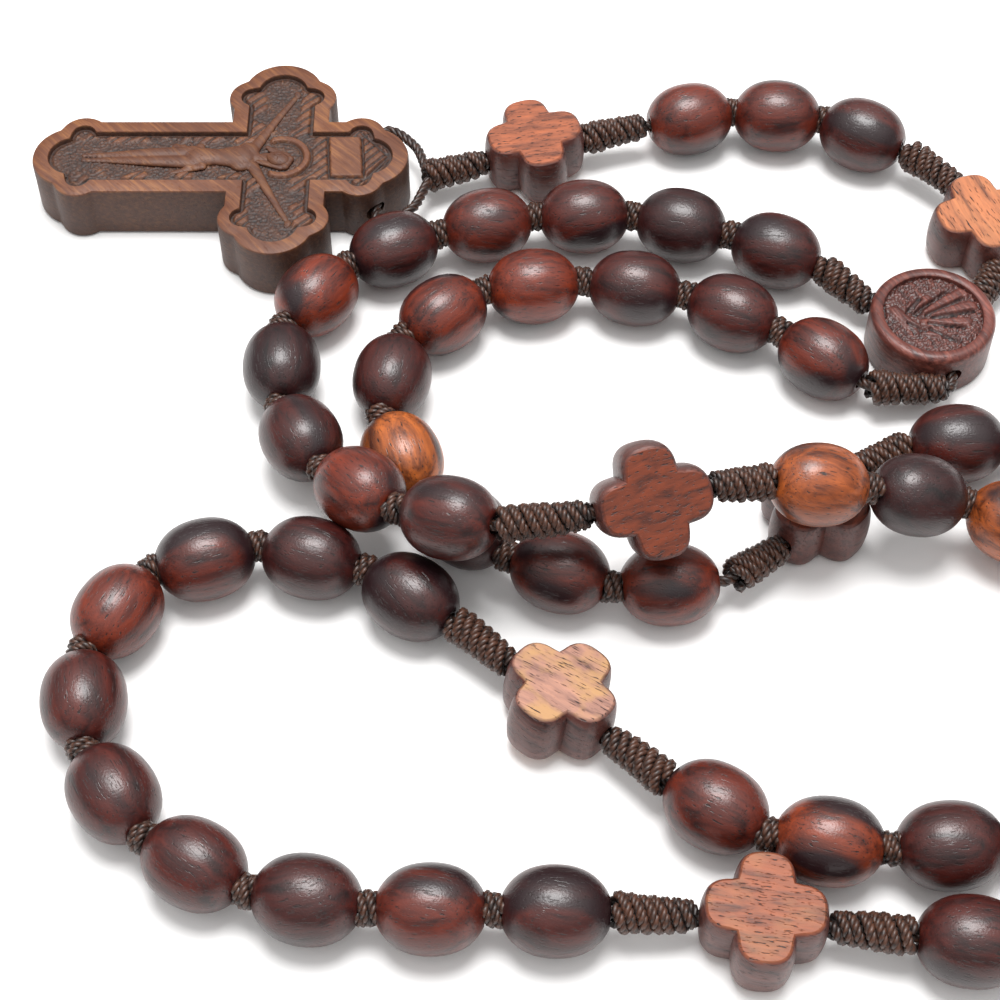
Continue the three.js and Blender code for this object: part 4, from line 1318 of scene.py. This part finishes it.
class RosaryOvals(bpy.types.Operator):
    """Turns the fifty-three oval beads: one is modelled and copied, each copy with its own wood"""

    bl_idname = "rosary.ovals"
    bl_label = "Oval beads"

    def execute(self, context):
        look = context.scene.rosary_ovals
        wood = polished_rosewood(look)
        master = oval_master(look)
        local = points_of(master.data)
        for piece in [*LOOP, *PENDANT]:
            if piece.kind != "oval":
                continue
            draw = random.Random(piece.name)
            group, number = piece.name.split("_bead")
            tone = OVAL_TONES[group][int(number) - 1]
            bead = copy_of(master, "turned_" + piece.name, piece.frame())
            note(bead.data, "grain_mm", grain_of(local, draw))
            note(bead.data, "tone", np.full(len(local), tone))
            cad_node = piece.name if piece.name in node_body else HIDDEN_BEADS[piece.name]
            finish_piece(bead, wood, node_body[cad_node], [cad_node])
        bpy.data.objects.remove(master)
        return {"FINISHED"}


class RosaryCrosses(bpy.types.Operator):
    """Cuts the six four-lobed cross beads from flat wood, each with its own stain"""

    bl_idname = "rosary.crosses"
    bl_label = "Cross beads"

    def execute(self, context):
        look = context.scene.rosary_crosses
        wood = sanded_rosewood(look)
        master = cross_master(look)
        local = points_of(master.data)
        for piece in [*LOOP, *PENDANT]:
            if piece.kind != "cross":
                continue
            draw = random.Random(piece.name)
            stain, patch = CROSS_STAINS[piece.name]
            bead = copy_of(master, "sawn_" + piece.name, piece.frame())
            note(bead.data, "grain_mm", grain_of(local, draw))
            note(bead.data, "stain", np.tile(paint(stain), (len(local), 1)))
            note(bead.data, "patch", np.full(len(local), patch))
            note(bead.data, "face", np.clip((np.abs(local[:, 2]) / (CROSS_T / 2) - 0.93) / 0.05, 0, 1))
            finish_piece(bead, wood, node_body[piece.name], [piece.name])
        bpy.data.objects.remove(master)
        return {"FINISHED"}


def overlap_at(fold, reach):
    """The points a little before and a little past a fold, where two lengths of cord meet."""
    here = pendant_stations[fold]
    back = (here - pendant_stations[fold - 1]).normalized()
    ahead = (pendant_stations[fold + 1] - here).normalized()
    return here - back * reach, here + ahead * reach


def crucifix_loop():
    """The cord's way out of the last knot, round through the crucifix's head hole and back into the knot."""
    half = [(TIP_TO_KNOT - 0.2 * MM, 2 * MM), (TIP_TO_KNOT - 1 * MM, 4.4 * MM), (-1 * MM, 6.4 * MM)]
    bend, far = 1.15 * MM, 6.15 * MM
    for t in (0, math.pi / 4, math.pi / 2):
        half.append((-HEAD_HOLE_AT + bend * (1 - math.sin(t)), far + bend * math.cos(t)))
    back = [(x, -y) for x, y in reversed(half)]
    in_knot = (TIP_TO_KNOT + 0.4 * MM, -0.5 * MM)
    return [HEAD_TIP + Vector((x, y, 0)) for x, y in [*half, *back, in_knot]]


class RosaryCords(bpy.types.Operator):
    """Lays the four lengths of twisted cord along the strand and ties the knots on them"""

    bl_idname = "rosary.cords"
    bl_label = "Cords and knots"

    def execute(self, context):
        cord = context.scene.rosary_cord
        nylon = twisted_nylon(cord)
        first, second = folds
        loop_end = [rim("last", 6.5 * MM), rim("last", CORD_START)]
        before_first, after_first = overlap_at(first, cord.fold_overlap)
        before_second, after_second = overlap_at(second, cord.fold_overlap)
        lengths = [
            ("loop_cord", [rim("first", CORD_START), *loop_stations, *loop_end], LOOP),
            ("pendant_cord_upper", [rim("pendant", CORD_START), *pendant_stations[:first], after_first],
             PENDANT[:first]),
            ("pendant_cord_middle", [before_first, *pendant_stations[first + 1 : second], after_second],
             PENDANT[first:second]),
            ("pendant_cord_lower", [before_second, *pendant_stations[second + 1 :], *crucifix_loop()],
             PENDANT[second:]),
        ]
        for name, stations, pieces in lengths:
            body = node_body[name]
            knots = make_knots(name, pieces, body, cord, nylon)
            make_cord(name, stations, body, cord, nylon)
        return {"FINISHED"}


class RosaryMedal(bpy.types.Operator):
    """Carves the round centre medal"""

    bl_idname = "rosary.medal"
    bl_label = "Medal"

    def execute(self, context):
        look = context.scene.rosary_medal
        wood = carved_wood("carved_plumwood_waxed", look, 60, 0.4)
        finish_piece(medal_shape(look), wood, node_body["medal"], ["medal"])
        return {"FINISHED"}


class RosaryCrucifix(bpy.types.Operator):
    """Carves the crucifix, with its low figure"""

    bl_idname = "rosary.crucifix"
    bl_label = "Crucifix"

    def execute(self, context):
        look = context.scene.rosary_crucifix
        wood = carved_wood("carved_rosewood_oiled", look, 45, 0.55)
        cross_piece = crucifix_shape(look)
        cross_piece.data.transform(Matrix.Translation((crucifix_low.x, HEAD_TIP.y, crucifix_low.z)))
        finish_piece(cross_piece, wood, node_body["crucifix"], ["crucifix"])
        return {"FINISHED"}


KEY_POWER = 7.0  # watts, at the size of a table top
KEY_SIZE = 0.42
KEY_AT = Vector((0, 0.12, 0.8))  # from the point that the camera looks at
HORIZON_POWER, ZENITH_POWER = 0.3, 1.15  # the studio glows most overhead
FLOOR_SIDE = 4
FLOOR_MOTTLE = 0.985  # how dark the darker flecks are beside the paint


def soft_box(name, place, target, size, power):
    """A round lamp that faces the target."""
    light = bpy.data.lights.new(name, "AREA")
    light.shape = "DISK"
    light.size = size
    light.energy = power
    obj = bpy.data.objects.new(name, light)
    obj.location = place
    obj.rotation_euler = (place - target).to_track_quat("Z", "Y").to_euler()
    bpy.context.scene.collection.objects.link(obj)


def painted_board(look):
    """A matt white board: bright and even, so that it lights the beads from below."""
    material, tree, shader = new_material("painted_board_matt")
    place = node(tree, "ShaderNodeTexCoord").outputs["Object"]
    mottle = node(tree, "ShaderNodeTexNoise", {"Vector": place, "Scale": 12.0, "Detail": 2.0})
    fleck = [FLOOR_MOTTLE * c for c in look.floor]
    tint = node(tree, "ShaderNodeMix",
                {"Factor": mottle.outputs["Fac"], "A": (*look.floor, 1), "B": (*fleck, 1)}, data_type="RGBA")
    tree.links.new(tint.outputs[2], shader.inputs["Base Color"])
    shader.inputs["Roughness"].default_value = 0.7
    shader.inputs["Specular IOR Level"].default_value = 0.2
    return material


class RosaryStage(bpy.types.Operator):
    """Sets the camera, the soft studio light and the pale table that the rosary lies on"""

    bl_idname = "rosary.stage"
    bl_label = "Stage"

    def execute(self, context):
        look = context.scene.rosary_stage
        scene = context.scene
        target = Vector(look.target)
        out = Vector((0, -math.cos(look.elevation), math.sin(look.elevation)))
        lens = bpy.data.cameras.new("camera")
        lens.lens = look.lens
        lens.clip_start = 10 * MM
        camera = bpy.data.objects.new("camera", lens)
        camera.location = target + out * look.distance
        camera.rotation_euler = out.to_track_quat("Z", "Y").to_euler()
        scene.collection.objects.link(camera)
        scene.camera = camera

        deselect()
        bpy.ops.mesh.primitive_plane_add(size=FLOOR_SIDE, location=(0, 0, 0))
        floor = context.object
        floor.name = floor.data.name = "floor"
        floor.data.materials.append(painted_board(look))

        soft_box("key_light", target + KEY_AT, target, KEY_SIZE, KEY_POWER)
        world = bpy.data.worlds.new("studio")
        world.use_nodes = True
        tree = world.node_tree
        place = node(tree, "ShaderNodeTexCoord").outputs["Generated"]
        height = node(tree, "ShaderNodeSeparateXYZ", {0: place}).outputs["Z"]
        glow = node(tree, "ShaderNodeMapRange", {
            "Value": height, "From Min": 0.3, "From Max": 0.75,
            "To Min": HORIZON_POWER, "To Max": ZENITH_POWER,
        })
        tree.nodes["Background"].inputs["Color"].default_value = (*WHITE, 1)
        tree.links.new(glow.outputs[0], tree.nodes["Background"].inputs["Strength"])
        scene.world = world
        scene.view_settings.view_transform = "Standard"
        return {"FINISHED"}


class RosaryPanel(bpy.types.Panel):
    """Lists the rosary's operators"""

    bl_label = "Rosary"
    bl_idname = "VIEW3D_PT_rosary"
    bl_space_type = "VIEW_3D"
    bl_region_type = "UI"
    bl_category = "Rosary"

    def draw(self, context):
        for operator in OPERATORS:
            self.layout.operator(operator.bl_idname)


OPERATORS = (RosaryStage, RosaryCords, RosaryOvals, RosaryCrosses, RosaryMedal, RosaryCrucifix)


def register():
    for settings in SETTINGS.values():
        bpy.utils.register_class(settings)
    for name, settings in SETTINGS.items():
        setattr(bpy.types.Scene, name, PointerProperty(type=settings))
    for cls in (*OPERATORS, RosaryPanel):
        bpy.utils.register_class(cls)


def unregister():
    for cls in (RosaryPanel, *reversed(OPERATORS)):
        bpy.utils.unregister_class(cls)
    for name, settings in SETTINGS.items():
        delattr(bpy.types.Scene, name)
        bpy.utils.unregister_class(settings)


def main():
    register()
    for operator in OPERATORS:
        group, name = operator.bl_idname.split(".")
        getattr(getattr(bpy.ops, group), name)()


if __name__ == "__main__":
    main()
